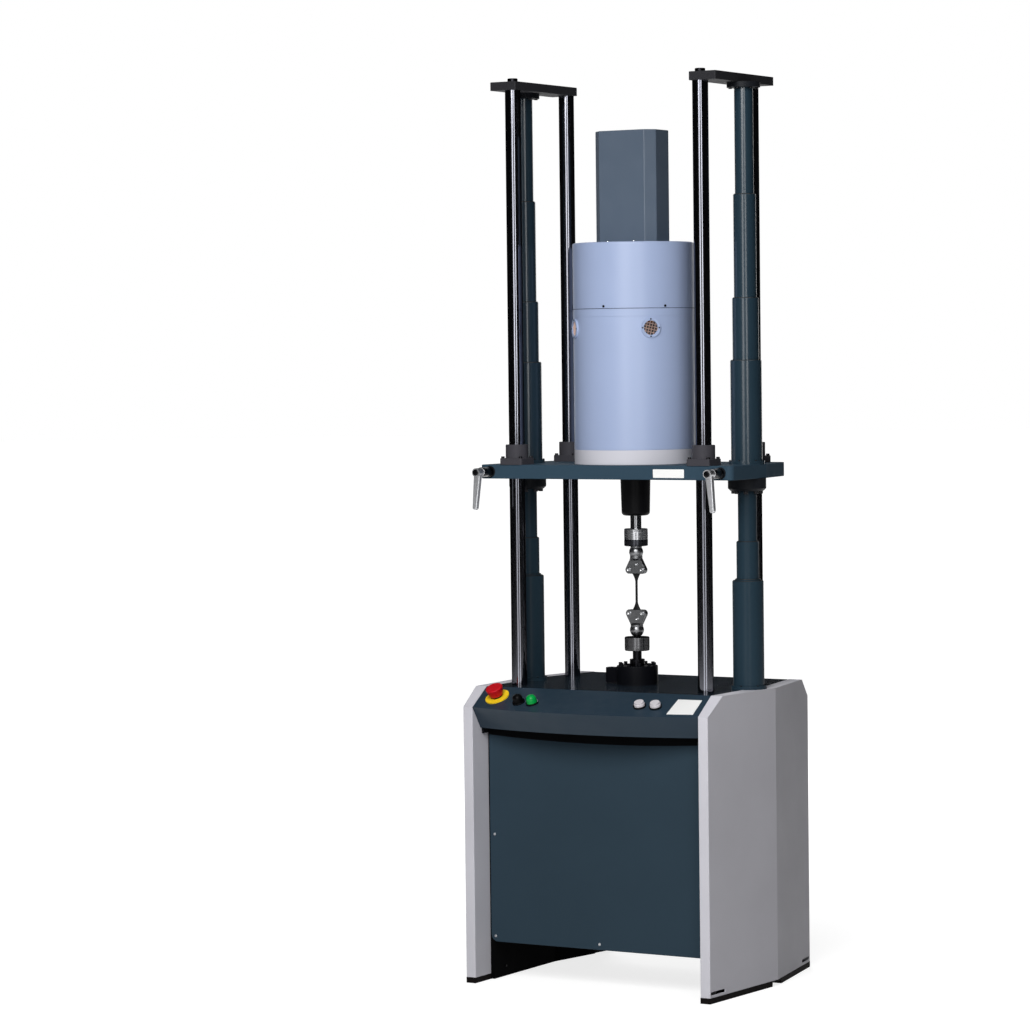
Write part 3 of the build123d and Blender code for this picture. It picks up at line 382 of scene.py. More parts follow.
column_chrome = bare_metal("column_chrome", srgb(127, 128, 136), 0.11, 700.0, ALONG,
                           height=0.00001, strength=0.01, shift=0.05, rim=0.12)
rod_chrome = bare_metal("rod_chrome", srgb(168, 169, 172), 0.14, 900.0, TURNED,
                        height=0.00001, strength=0.02, shift=0.06, rim=0.3)
turned_steel = bare_metal("turned_steel", srgb(182, 183, 186), 0.24, 900.0, RINGED,
                          height=0.00002, strength=0.05, shift=0.08, rim=0.4)
grip_steel = bare_metal("grip_steel", srgb(123, 124, 126), 0.32, 420.0, (1, 0.3, 1),
                        height=0.00003, strength=0.05)
dark_turned = bare_metal("dark_turned", srgb(104, 104, 106), 0.24, 900.0, RINGED,
                         height=0.00001, strength=0.02, shift=0.08, rim=0.3)
screw_steel = bare_metal("screw_steel", srgb(214, 215, 217), 0.25, 1200.0, EVEN,
                         height=0.00002, strength=0.06)
black_screw = bare_metal("black_screw", srgb(34, 34, 36), 0.36, 1200.0, EVEN, strength=0.1)
cast_silver = bare_metal("cast_silver", srgb(196, 197, 200), 0.42, 520.0, EVEN,
                         height=0.00006, strength=0.12)
blued_steel = bare_metal("blued_steel", srgb(30, 30, 33), 0.3, 900.0, RINGED,
                         height=0.00002, strength=0.06)
bronze_wire = bare_metal("bronze_wire", srgb(206, 176, 164), 0.45, 900.0, EVEN)
yoke_iron = bare_metal("yoke_iron", srgb(88, 88, 90), 0.5, 500.0, TURNED)
bearing_brass = bare_metal("bearing_brass", srgb(176, 148, 92), 0.32, 900.0, TURNED)
motor_alloy = bare_metal("motor_alloy", srgb(150, 152, 156), 0.45, 500.0, EVEN)
print("metals ready")

# %% Two rings in one
RING_SPLIT = 1.07375


def two_tone_ring(name, low, high, split, rough):
    material, tree, shader, coords = start_finish(name)
    height, above = tree.nodes.new("ShaderNodeSeparateXYZ"), tree.nodes.new("ShaderNodeMath")
    tree.links.new(coords, height.inputs[0])
    above.operation = "GREATER_THAN"
    above.inputs[1].default_value = split
    tree.links.new(height.outputs["Z"], above.inputs[0])
    colour_by(tree, above.outputs[0], low, high, shader.inputs["Base Color"])
    metal_skin(tree, shader, noise(tree, coords, 900.0, 2.0, RINGED), rough, 0.00001, 0.02)
    return material


lock_ring_steel = two_tone_ring("lock_ring_steel", srgb(66, 67, 72), srgb(186, 187, 190), RING_SPLIT, 0.24)
print("lock ring splits at:", RING_SPLIT)

# %% [markdown]
# ### Moulded plastic and rubber
# Button caps, the emergency stop and the feet are moulded. Their skin is fairly smooth with a very fine grain.
# The specimen is black vulcanised rubber, dull with a slight bloom. The coil is enamelled wire, wound in
# tight turns that a wave along the axis gives. The same wave darkens the grooves between the turns to half
# the colour, which is painted shade in the creases.

# %% Moulded plastic and rubber
BLOOM_SCALE, WEAR_SCALE = 40.0, 160.0


def moulded(name, colour, rough, grain=900.0, height=0.00008, strength=0.12, cloud=0.05, gloss=0.5):
    material, tree, shader, coords = start_finish(name)
    bloom, wear = noise(tree, coords, BLOOM_SCALE, 3.0), noise(tree, coords, WEAR_SCALE, 2.0)
    colour_by(tree, bloom, tinted(colour, 1 - cloud), tinted(colour, 1 + cloud), shader.inputs["Base Color"])
    value_by(tree, wear, rough - 0.05, rough + 0.06, shader.inputs["Roughness"])
    relief(tree, noise(tree, coords, grain, 1.0), height, strength, shader)
    shader.inputs["Specular IOR Level"].default_value = gloss
    return material


stop_red = moulded("stop_red", srgb(186, 12, 26), 0.4, gloss=0.2)
stop_yellow = moulded("stop_yellow", srgb(238, 200, 34), 0.45, gloss=0.2)
start_green = moulded("start_green", srgb(0, 146, 62), 0.3, gloss=0.25)
cap_black = moulded("cap_black", srgb(7, 7, 8), 0.35, gloss=0.06)
cap_white = moulded("cap_white", srgb(207, 203, 208), 0.3)
bezel_black = moulded("bezel_black", srgb(10, 10, 12), 0.14)
foot_rubber = moulded("foot_rubber", srgb(18, 15, 15), 0.7, grain=500.0, height=0.0002, strength=0.3,
                      gloss=0.05)
specimen_rubber = moulded("specimen_rubber", srgb(14, 14, 15), 0.55, grain=700.0, height=0.0001, strength=0.3,
                          cloud=0.2, gloss=0.15)
wiper_rubber = moulded("wiper_rubber", srgb(14, 15, 16), 0.6, height=0.0001, strength=0.3)
belt_rubber = moulded("belt_rubber", srgb(24, 24, 26), 0.65, grain=500.0, height=0.0002, strength=0.4)
print("plastics and rubber ready")

# %% Wound wire
WAVES_PER_PITCH = 0.31


def wound_wire(name, colour, pitch):
    material, tree, shader, coords = start_finish(name)
    turns = tree.nodes.new("ShaderNodeTexWave")
    turns.bands_direction = "Z"
    turns.inputs["Scale"].default_value = WAVES_PER_PITCH / pitch
    tree.links.new(coords, turns.inputs["Vector"])
    # Painted shade: the colour falls to half in the grooves between the turns, where the wave's relief is
    # lowest.
    colour_by(tree, turns.outputs["Fac"], tinted(colour, 0.5), colour, shader.inputs["Base Color"])
    value_by(tree, noise(tree, coords, 90.0), 0.25, 0.4, shader.inputs["Roughness"])
    relief(tree, turns.outputs["Fac"], 0.0006, 0.6, shader)
    shader.inputs["Metallic"].default_value = 0.8
    return material


coil_copper = wound_wire("coil_copper", srgb(170, 92, 52), 0.0016)
print("winding ready")

# %% [markdown]
# ## Finishes on the solids
# The CAD solids already have the right shapes, so most of them stay and only take a finish. One table says
# which, and the print shows any solid that was forgotten.

# %% Finish table
finish_of = {
    slate_paint: "front_panel rear_panel",
    console_slate: "console_housing",
    crosshead_slate: "crosshead_plate",
    table_slate: "table_plate",
    tube_slate: "upper_tubes_on_crosshead upper_tubes_second upper_tubes_third upper_tubes_on_bracket",
    lower_tube_slate: "lower_tubes_on_table lower_tubes_second lower_tubes_third lower_tubes_on_crosshead",
    cover_grey: "left_side_cover right_side_cover",
    drum_lavender: "actuator_lower_shell actuator_upper_shell",
    ring_pale: "actuator_base_ring",
    hood_graphite: "actuator_top_cover",
    bracket_black: "left_top_bracket right_top_bracket",
    flange_black: "lift_nuts screw_top_bearings",
    cell_black: "load_cell",
    frame_black: "base_frame",
    column_chrome: "column_front_left column_front_right column_rear_left column_rear_right",
    rod_chrome: "actuator_rod",
    turned_steel: "left_lift_screw right_lift_screw",
    lock_ring_steel: "upper_lock_disc",
    dark_turned: "lower_lock_disc",
    blued_steel: "lower_stud column_cap_nuts",
    grip_steel: "upper_grip_body lower_grip_body upper_jaw_plate lower_jaw_plate",
    cast_silver: "left_clamp_lever right_clamp_lever",
    sleeve_black: "rod_sleeve",
    bushing_black: "guide_bushings",
    yoke_iron: "magnet_yoke magnet_ring",
    bearing_brass: "rod_guides",
    motor_alloy: "lift_motor stroke_sensor",
    coil_copper: "moving_coil",
    belt_rubber: "drive_belt",
    foot_rubber: "foot_strips",
    specimen_rubber: "test_specimen",
    stop_red: "estop_head",
    stop_yellow: "estop_collar",
    start_green: "green_button",
    cap_black: "black_button",
    cap_white: "silver_button_left silver_button_right",
    bezel_black: "button_bezels",
}
dressed = set()
for finish, names in finish_of.items():
    for name in names.split():
        nodes[name].data.materials.clear()
        nodes[name].data.materials.append(finish)
        dressed.add(name)
print("solids without a finish:", sorted(set(nodes) - dressed))

# %% [markdown]
# ## Helpers for small pieces
# A piece is a mesh that lies where it belongs, with its object left at the origin. Round things are turned
# from a profile, as on a lathe, and flat ones are cut as a rounded outline with a broken front edge. Sizes
# and places are given in millimetres, as on a drawing, and scaled here.

# %% Piece with its finish
MM, SHARP_DEG = 0.001, 35


def linked_piece(name, mesh, finish, sharp=SHARP_DEG):
    mesh.materials.clear()
    mesh.materials.append(finish)
    for polygon in mesh.polygons:
        polygon.use_smooth = True
    mesh.set_sharp_from_angle(angle=math.radians(sharp))
    obj = bpy.data.objects.new(name, mesh)
    scene.collection.objects.link(obj)
    return obj


def finish_piece(name, mesh, body, finish):
    obj = linked_piece(name, mesh, finish)
    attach(obj, body)


def tidy_mesh(name, bm):
    bmesh.ops.remove_doubles(bm, verts=bm.verts, dist=1e-7)
    bmesh.ops.recalc_face_normals(bm, faces=bm.faces)
    mesh = bpy.data.meshes.new(name)
    bm.to_mesh(mesh)
    bm.free()
    return mesh


def shaped_piece(name, bm, body, finish):
    finish_piece(name, tidy_mesh(name, bm), body, finish)


print("piece helpers ready")

# %% Turned ring, skin over rings and cut plate
CORNER_STEPS = 6


def facing(at, out):
    turn = Vector(out).to_track_quat("Z", "Y").to_matrix().to_4x4()
    return Matrix.Translation(Vector(at) * MM) @ turn


def add_turned(bm, profile, place, steps, closed=True):
    turns = [2 * math.pi * k / steps for k in range(steps)]
    rows = []
    for radius, height in profile:
        r, z = radius * MM, height * MM
        ring = [place @ Vector((r * math.cos(a), r * math.sin(a), z)) for a in turns]
        rows.append([bm.verts.new(p) for p in (ring[:1] if radius == 0 else ring)])
    for a, b in zip(rows, rows[1:] + rows[:1] if closed else rows[1:]):
        for k in range(steps):
            corner = [a[k % len(a)], a[(k + 1) % len(a)], b[(k + 1) % len(b)], b[k % len(b)]]
            corner = list(dict.fromkeys(corner))
            if len(corner) > 2:
                bm.faces.new(corner)


def add_skin(bm, rings):
    for a, b in zip(rings, rings[1:]):
        for k in range(len(a)):
            bm.faces.new((a[k], a[(k + 1) % len(a)], b[(k + 1) % len(b)], b[k]))
    bm.faces.new(rings[-1])
    bm.faces.new(list(reversed(rings[0])))


def add_plate(bm, size, place):
    width, height, thick, corner, edge = (v * MM for v in size)

    def outline(inset, z):
        r = corner - inset
        points = []
        for quarter, (sx, sy) in enumerate(((1, 1), (-1, 1), (-1, -1), (1, -1))):
            for k in range(CORNER_STEPS + 1):
                a = math.pi / 2 * (quarter + k / CORNER_STEPS)
                points.append(place @ Vector((sx * (width / 2 - corner) + r * math.cos(a),
                                              sy * (height / 2 - corner) + r * math.sin(a), z)))
        return [bm.verts.new(p) for p in points]

    add_skin(bm, [outline(0, 0), outline(0, thick - edge), outline(edge, thick)])


print("shape helpers ready")

# %% [markdown]
# ## Fasteners
# Socket-head screws hold almost everything together here: bushings, flanges, ports, panels and jaws. Modelling
# each by hand would be dull, and a linear array only does rows. One Geometry Nodes tree takes a cloud of
# marks, each with an outward direction, and puts a head with a broken rim and a sunk socket on every mark.

# %% Steps that both trees share


def new_tree(name, sizes, count):
    tree = bpy.data.node_groups.new(name, "GeometryNodeTree")
    floats = [(size, "Float") for size in sizes]
    for socket, kind in (("Geometry", "Geometry"), *floats, (count, "Int"), ("Finish", "Material")):
        tree.interface.new_socket(socket, in_out="INPUT", socket_type="NodeSocket" + kind)
    tree.interface.new_socket("Geometry", in_out="OUTPUT", socket_type="NodeSocketGeometry")
    return tree, tree.nodes.new("NodeGroupInput").outputs


def maths(tree, operation, *values):
    node = tree.nodes.new("ShaderNodeMath")
    node.operation = operation
    for socket, value in zip(node.inputs, values):
        if isinstance(value, float):
            socket.default_value = value
        else:
            tree.links.new(value, socket)
    return node.outputs[0]


def set_on_marks(tree, given, shape):
    new, link = tree.nodes.new, tree.links.new
    out, turn = new("GeometryNodeInputNamedAttribute"), new("FunctionNodeAlignRotationToVector")
    out.data_type = "FLOAT_VECTOR"
    out.inputs["Name"].default_value = "out"
    turn.axis = "Z"
    link(out.outputs["Attribute"], turn.inputs["Vector"])
    place = new("GeometryNodeInstanceOnPoints")
    link(given["Geometry"], place.inputs["Points"])
    link(shape, place.inputs["Instance"])
    link(turn.outputs["Rotation"], place.inputs["Rotation"])
    real, coat = new("GeometryNodeRealizeInstances"), new("GeometryNodeSetMaterial")
    link(place.outputs["Instances"], real.inputs["Geometry"])
    link(real.outputs["Geometry"], coat.inputs["Geometry"])
    link(given["Finish"], coat.inputs["Material"])
    link(coat.outputs["Geometry"], new("NodeGroupOutput").inputs["Geometry"])


print("tree steps ready")

# %% Screw-head tree
BODY_SHARE, RIM_SHARE, RIM_SCALE = 0.8, 0.2, 0.88


def screw_head_tree():
    sizes = ("Head radius", "Head height", "Socket share", "Socket depth")
    tree, given = new_tree("socket_head_screws", sizes, "Sides")
    new, link = tree.nodes.new, tree.links.new

    def pulled(mesh, top_faces, offset=None):
        pull = new("GeometryNodeExtrudeMesh")
        link(mesh, pull.inputs["Mesh"])
        link(top_faces, pull.inputs["Selection"])
        pull.inputs["Offset Scale"].default_value = 0.0
        if offset is not None:
            link(offset, pull.inputs["Offset Scale"])
        return pull.outputs["Mesh"], pull.outputs["Top"]

    def narrowed(mesh, top_faces):
        shrink = new("GeometryNodeScaleElements")
        link(mesh, shrink.inputs["Geometry"])
        link(top_faces, shrink.inputs["Selection"])
        return shrink.outputs["Geometry"], shrink.inputs["Scale"]

    height = given["Head height"]
    head = new("GeometryNodeMeshCylinder")
    link(given["Sides"], head.inputs["Vertices"])
    link(given["Head radius"], head.inputs["Radius"])
    link(maths(tree, "MULTIPLY", height, BODY_SHARE), head.inputs["Depth"])
    mesh, top = pulled(head.outputs["Mesh"], head.outputs["Top"], maths(tree, "MULTIPLY", height, RIM_SHARE))
    mesh, scale = narrowed(mesh, top)
    scale.default_value = RIM_SCALE
    mesh, top = pulled(mesh, top)
    mesh, scale = narrowed(mesh, top)
    link(given["Socket share"], scale)
    mesh, _ = pulled(mesh, top, maths(tree, "MULTIPLY", given["Socket depth"], -1.0))
    lift, raised = new("ShaderNodeCombineXYZ"), new("GeometryNodeTransform")
    link(maths(tree, "MULTIPLY", height, BODY_SHARE / 2), lift.inputs["Z"])
    link(mesh, raised.inputs["Geometry"])
    link(lift.outputs[0], raised.inputs["Translation"])
    set_on_marks(tree, given, raised.outputs["Geometry"])
    return tree


SCREW_HEADS = screw_head_tree()
print("screw tree nodes:", len(SCREW_HEADS.nodes))

# %% Screws on marks
SOCKET_DEPTH = 0.55  # of the head's height


def grown_mesh(name, tree, marks, inputs):
    mesh = bpy.data.meshes.new(name)
    mesh.from_pydata([tuple(at) for at, _ in marks], [], [])
    outward = mesh.attributes.new("out", "FLOAT_VECTOR", "POINT")
    for k, (_, out) in enumerate(marks):
        outward.data[k].vector = Vector(out)
    worker = bpy.data.objects.new(name + "_marks", mesh)
    scene.collection.objects.link(worker)
    modifier = worker.modifiers.new("tree", "NODES")
    modifier.node_group = tree
    for item in tree.interface.items_tree:
        if item.item_type == "SOCKET" and item.in_out == "INPUT" and item.name in inputs:
            modifier[item.identifier] = inputs[item.name]
    done = worker.evaluated_get(bpy.context.evaluated_depsgraph_get())
    made = bpy.data.meshes.new_from_object(done)
    bpy.data.objects.remove(worker)
    made.name = name
    for left in [a.name for a in made.attributes if a.name == "out"]:
        made.attributes.remove(made.attributes[left])
    return made


def screws(name, marks, radius, height, body, finish, share=0.55, sides=20):
    made = grown_mesh(name, SCREW_HEADS, marks, {
        "Head radius": radius * MM, "Head height": height * MM, "Socket share": share,
        "Socket depth": height * SOCKET_DEPTH * MM, "Sides": sides, "Finish": finish})
    finish_piece(name, made, body, finish)
    print(name, "heads:", len(marks), "faces:", len(made.polygons))


def mark(x, y, z, out):
    return Vector((x, y, z)) * MM, out


print("screws ready")

# %% [markdown]
# ### Where the screws sit
# Each group follows what carries it. The bushing flanges have one screw in each corner. The lift nuts and the
# top bearings show a ring of heads from below. The drum's two shells meet at a seam with six small screws just
# above it, and the panels are held along their edges.

# %% Crosshead and column fasteners
COLUMN_X, COLUMN_Y, LIFT_X, FLANGE_CORNER = 258.4, 129.2, 306.0, 25
FLANGE_TOP, NUT_UNDER, COVER_FOOT, BEARING_UNDER, TABLE_FLANGE = 1275, 1195, 1267, 2157, 727.5
UP, DOWN, FRONT, BACK = (0, 0, 1), (0, 0, -1), (0, -1, 0), (0, 1, 0)


def around_lifts(radius, count, z, out, first=30):
    marks = []
    for sx in (-1, 1):
        for k in range(count):
            a = math.radians(first + 360 * k / count)
            marks.append(mark(sx * LIFT_X + radius * math.cos(a), radius * math.sin(a), z, out))
    return marks


corner_marks = [mark(sx * COLUMN_X + FLANGE_CORNER * cx, sy * COLUMN_Y + FLANGE_CORNER * cy, FLANGE_TOP, UP)
                for sx in (-1, 1) for sy in (-1, 1) for cx in (-1, 1) for cy in (-1, 1)]
screws("bushing_screws", corner_marks, 4.4, 4.5, "crosshead", black_screw)
nut_marks = around_lifts(33, 8, NUT_UNDER, DOWN, first=22.5)
screws("lift_nut_screws", nut_marks, 5.2, 7.0, "crosshead", black_screw)
tube_marks = around_lifts(40.2, 6, COVER_FOOT, UP)
screws("cover_foot_screws", tube_marks, 2.3, 2.2, "crosshead", black_screw)
bearing_marks = around_lifts(31.5, 6, BEARING_UNDER, DOWN)
screws("top_bearing_screws", bearing_marks, 4.4, 3.0, "base", black_screw)
table_marks = around_lifts(40.2, 6, TABLE_FLANGE, UP)
screws("table_flange_screws", table_marks, 2.3, 2.2, "base", black_screw)

# %% Drum fasteners
DRUM_R, SEAM_Z, SEAM_SCREW_UP, PORT_Z, PORT_OUT, PORT_SCREW_R = 147.5, 1635.0, 5.5, 1588.0, 3, 20.8
SEAM_ANGLES, PORT_ANGLES = range(0, 360, 60), range(45, 360, 90)
HOOD_SCREW_X, HOOD_SCREW_Y, HOOD_TAB_TOP = 36, 60.5, 1797


def on_drum(angle, z, radius=DRUM_R):
    out = toward(angle)
    return (out * radius + Vector((0, 0, z))) * MM, out


seam_marks = [on_drum(angle, SEAM_Z + SEAM_SCREW_UP) for angle in SEAM_ANGLES]
screws("drum_seam_screws", seam_marks, 3.0, 1.8, "crosshead", black_screw)
port_marks = []
for angle in PORT_ANGLES:
    middle, out = on_drum(angle, PORT_Z, DRUM_R + PORT_OUT)
    across = Vector(UP).cross(out)
    for step in (across, -across, Vector(UP), Vector(DOWN)):
        port_marks.append((middle + step * PORT_SCREW_R * MM, out))
screws("port_screws", port_marks, 1.9, 0.9, "crosshead", black_screw, sides=14)
hood_marks = [mark(sx * HOOD_SCREW_X, sy * HOOD_SCREW_Y, HOOD_TAB_TOP, UP) for sx in (-1, 1) for sy in (-1, 1)]
screws("hood_screws", hood_marks, 2.8, 2.4, "crosshead", screw_steel)

# %% Panel fasteners
PANEL_FACE, PANEL_X, PANEL_HEIGHTS = -200, 292, (108, 358)
REAR_FACE, REAR_X, REAR_HEIGHTS = 252, 256, (112, 385, 655)
panel_marks = [mark(x, PANEL_FACE, z, FRONT) for x in (-PANEL_X, PANEL_X) for z in PANEL_HEIGHTS]
panel_marks += [mark(0, PANEL_FACE, PANEL_HEIGHTS[0], FRONT)]
screws("front_panel_screws", panel_marks, 3.2, 1.4, "base", cast_silver)
rear_marks = [mark(x, REAR_FACE, z, BACK) for x in (-REAR_X, REAR_X) for z in REAR_HEIGHTS]
rear_marks += [mark(0, REAR_FACE, z, BACK) for z in (REAR_HEIGHTS[0], REAR_HEIGHTS[-1])]
screws("rear_panel_screws", rear_marks, 4.6, 1.6, "base", black_screw)

# %% Lever and jaw fasteners
LEVER_X, LEVER_Z, LEVER_END = 318.0, 1242.0, -226
LOW_EAR, HIGH_EAR, EAR_X, EAR_IN, JAW_FACE, WAIST_X, WAIST_IN = 902.1, 989.6, 18, 9.5, -6.5, 4, 23
for side, body in ((-1, "left_lever"), (1, "right_lever")):
    cap = [mark(side * LEVER_X, LEVER_END, LEVER_Z, FRONT)]
    screws(body + "_cap", cap, 7.6, 2.4, body, black_screw, share=0.45, sides=28)
JAWS = (("lower", LOW_EAR, -1), ("upper", HIGH_EAR, 1))
for end, ear, s in JAWS:
    jaw_marks = [mark(sx * EAR_X, JAW_FACE, ear + s * EAR_IN, FRONT) for sx in (-1, 1)]
    screws(end + "_jaw_screws", jaw_marks, 5.0, 3.2, end + "_jaw", screw_steel, share=0.5)
for end, ear, s in JAWS:
    waist = [mark(WAIST_X, JAW_FACE, ear + s * WAIST_IN, FRONT)]
    screws(end + "_waist_screw", waist, 3.6, 2.2, end + "_jaw", screw_steel, share=0.5)

# %% [markdown]
# ## Vent screens
# Each of the four round ports has a woven wire screen with a bronze tint. A texture on a disc would stay flat
# when seen from the side, so a second tree lays two crossed rows of wires, each wire as long as the round
# opening is at its place, and sets the screen into every port.

# %% One row of wires
ROW_SHARE, WIRE_SIDES, WIRE_DEPTH = 0.985, 6, 2.0


def wire_row(tree, given):
    new, link = tree.nodes.new, tree.links.new
    radius = given["Opening radius"]
    start, end = new("ShaderNodeCombineXYZ"), new("ShaderNodeCombineXYZ")
    link(maths(tree, "MULTIPLY", radius, -ROW_SHARE), start.inputs["X"])
    link(maths(tree, "MULTIPLY", radius, ROW_SHARE), end.inputs["X"])
    row = new("GeometryNodeMeshLine")
    row.mode = "END_POINTS"
    link(given["Wires"], row.inputs["Count"])
    link(start.outputs[0], row.inputs["Start Location"])
    link(end.outputs[0], row.inputs["Offset"])
    spot, split = new("GeometryNodeInputPosition"), new("ShaderNodeSeparateXYZ")
    link(spot.outputs[0], split.inputs[0])
    x = split.outputs["X"]
    square = maths(tree, "SUBTRACT", maths(tree, "MULTIPLY", radius, radius), maths(tree, "MULTIPLY", x, x))
    stretch = new("ShaderNodeCombineXYZ")
    stretch.inputs["X"].default_value = stretch.inputs["Y"].default_value = 1.0
    link(maths(tree, "SQRT", maths(tree, "MAXIMUM", square, 0.0)), stretch.inputs["Z"])
    wire = new("GeometryNodeMeshCylinder")
    wire.inputs["Vertices"].default_value = WIRE_SIDES
    wire.inputs["Depth"].default_value = WIRE_DEPTH
    link(given["Wire radius"], wire.inputs["Radius"])
    lay = new("GeometryNodeInstanceOnPoints")
    link(row.outputs["Mesh"], lay.inputs["Points"])
    link(wire.outputs["Mesh"], lay.inputs["Instance"])
    lay.inputs["Rotation"].default_value = (math.radians(90), 0, 0)
    link(stretch.outputs[0], lay.inputs["Scale"])
    return lay.outputs["Instances"]


print("wire row ready")

# %% Two rows woven into screens
CROSS_RISE, WEAVE_DEG, SCREEN_IN = 1.6, 32, 1.5
SCREEN_R, WIRE_R, WIRES = 17.4, 1.1, 6


def screen_tree():
    tree, given = new_tree("woven_screens", ("Opening radius", "Wire radius"), "Wires")
    new, link = tree.nodes.new, tree.links.new
    wires = wire_row(tree, given)
    cross, both = new("GeometryNodeTransform"), new("GeometryNodeJoinGeometry")
    cross.inputs["Rotation"].default_value = (0, 0, math.radians(90))
    rise = new("ShaderNodeCombineXYZ")
    link(maths(tree, "MULTIPLY", given["Wire radius"], CROSS_RISE), rise.inputs["Z"])
    link(wires, cross.inputs["Geometry"])
    link(rise.outputs[0], cross.inputs["Translation"])
    link(wires, both.inputs["Geometry"])
    link(cross.outputs["Geometry"], both.inputs["Geometry"])
    tilt = new("GeometryNodeTransform")
    tilt.inputs["Rotation"].default_value = (0, 0, math.radians(WEAVE_DEG))
    link(both.outputs["Geometry"], tilt.inputs["Geometry"])
    set_on_marks(tree, given, tilt.outputs["Geometry"])
    return tree


screen_marks = [on_drum(angle, PORT_Z, DRUM_R - SCREEN_IN) for angle in PORT_ANGLES]
screen_mesh = grown_mesh("port_screens", screen_tree(), screen_marks, {
    "Wires": WIRES, "Opening radius": SCREEN_R * MM, "Wire radius": WIRE_R * MM, "Finish": bronze_wire})
finish_piece("port_screens", screen_mesh, "crosshead", bronze_wire)
print("screen faces:", len(screen_mesh.polygons))

# %% [markdown]
# ## Tabs, washers, wiper rings and hub sleeves
# Some parts are too small to need solids. The hood stands on four screwed tabs. Every telescopic cover tube
# ends in a black wiper ring that keeps dust out. The clamp levers turn on dark hubs that sit on dark washers.
# They are all cut as plates or turned from profiles.

# %% Tabs under the hood screws
HOOD_TAB, HOOD_TAB_Y, HOOD_TAB_FOOT = (16, 14, 2, 3, 0.4), 59, 1795  # width, height, thickness, corner, edge
bm = bmesh.new()
for sx in (-1, 1):
    for sy in (-1, 1):
        add_plate(bm, HOOD_TAB, facing((sx * HOOD_SCREW_X, sy * HOOD_TAB_Y, HOOD_TAB_FOOT), UP))
shaped_piece("hood_tabs", bm, "crosshead", hood_graphite)
print("hood tabs: 4")

# %% Wiper rings in the telescopic covers
WIPER_STEPS = 56
WIPERS = (  # name, body, top of the tube's lip, tube radius, radius of the next tube
    ("upper_on_crosshead_wipers", "crosshead", 1507.0, 37.5, 31.5),
    ("upper_second_wipers", "upper_second", 1656.0, 31.5, 27.0),
    ("upper_third_wipers", "upper_third", 1903.0, 27.0, 22.5),
    ("lower_on_table_wipers", "base", 979.0, 37.5, 31.5),
    ("lower_second_wipers", "lower_second", 983.0, 31.5, 27.0),
    ("lower_third_wipers", "lower_third", 1073.0, 27.0, 22.5),
)
for name, body, lip, outer, inner in WIPERS:
    bm = bmesh.new()
    a, b = inner + 0.6, outer - 1.4
    profile = [(a, -0.2), (b, -0.2), (b, 0.9), (b - 0.6, 1.5), (a + 0.9, 1.5), (a, 0.9)]
    for sx in (-1, 1):
        add_turned(bm, profile, facing((sx * LIFT_X, 0, lip), UP), WIPER_STEPS)
    shaped_piece(name, bm, body, wiper_rubber)
print("wiper rings:", len(WIPERS) * 2)

# %% Lever hubs and washers
CROSS_FRONT, WASHER_BACK, HUB_STEPS, WASHER_STEPS = -158, -157.9, 40, 48
HUB = [(11.05, -44.5), (11.9, -43.8), (11.9, -14), (11.3, -13), (11.9, -12), (11.9, -2.2), (11.05, -1.5)]
WASHER = [(6.6, 0.0), (14.2, 0.0), (14.2, 0.9), (13.8, 1.3), (6.6, 1.3)]
washers = bmesh.new()
for side, body in ((-1, "left_lever"), (1, "right_lever")):
    bm = bmesh.new()
    add_turned(bm, HUB, facing((side * LEVER_X, CROSS_FRONT, LEVER_Z), BACK), HUB_STEPS)
    shaped_piece(body + "_hub_sleeve", bm, body, blued_steel)
    add_turned(washers, WASHER, facing((side * LEVER_X, WASHER_BACK, LEVER_Z), FRONT), WASHER_STEPS)
shaped_piece("lever_washers", washers, "crosshead", flange_black)
print("lever hubs and washers: 2 each")

# %% [markdown]
# ## Seams, painted lip shadow and end brackets
# The drum's shells meet in a dark joint, with a slim band under it. A black strip on the front panel under
# the console's lip is painted shadow: the lip's shade drawn as a dark sheet. Its lower edge is bowed as the
# lip is, so it is swept in sections along the panel. A small angle bracket holds each end of the lip. All of
# them are thin trim.

# %% Drum joint and band
BAND_LOW, TRIM_STEPS, TRIM_IN, TRIM_EDGE = 1616.0, 128, 0.2, 0.2
DRUM_TRIM = (  # name, lower and upper edge, how far it stands out, finish, slot
    ("drum_joint", SEAM_Z - 0.4, SEAM_Z + 0.9, 0.15, black_joint_and_painted_shadow, "black_rubber"),
    ("drum_band", BAND_LOW, SEAM_Z - 0.6, 0.35, drum_lavender, "actuator_paint"),
)
for name, low, high, proud, finish, slot in DRUM_TRIM:
    bm = bmesh.new()
    inside, outside = DRUM_R - TRIM_IN, DRUM_R + proud
    profile = [(inside, low), (outside, low + TRIM_EDGE), (outside, high - TRIM_EDGE), (inside, high)]
    add_turned(bm, profile, Matrix.Identity(4), TRIM_STEPS)
    shaped_piece(name, bm, "crosshead", finish)
print("drum trim:", len(DRUM_TRIM))

# %% Painted lip shadow on the panel
SHADOW_STRIP_HALF, SHADOW_STRIP_TOP, SHADOW_STRIP_ENDS, SHADOW_STRIP_MIDDLE, SHADOW_STRIP_STEPS = 304.0, 620.0, 602.0, 591.0, 40
SHADOW_STRIP_FRONT, SHADOW_STRIP_EDGE = PANEL_FACE - 1.2, 0.4
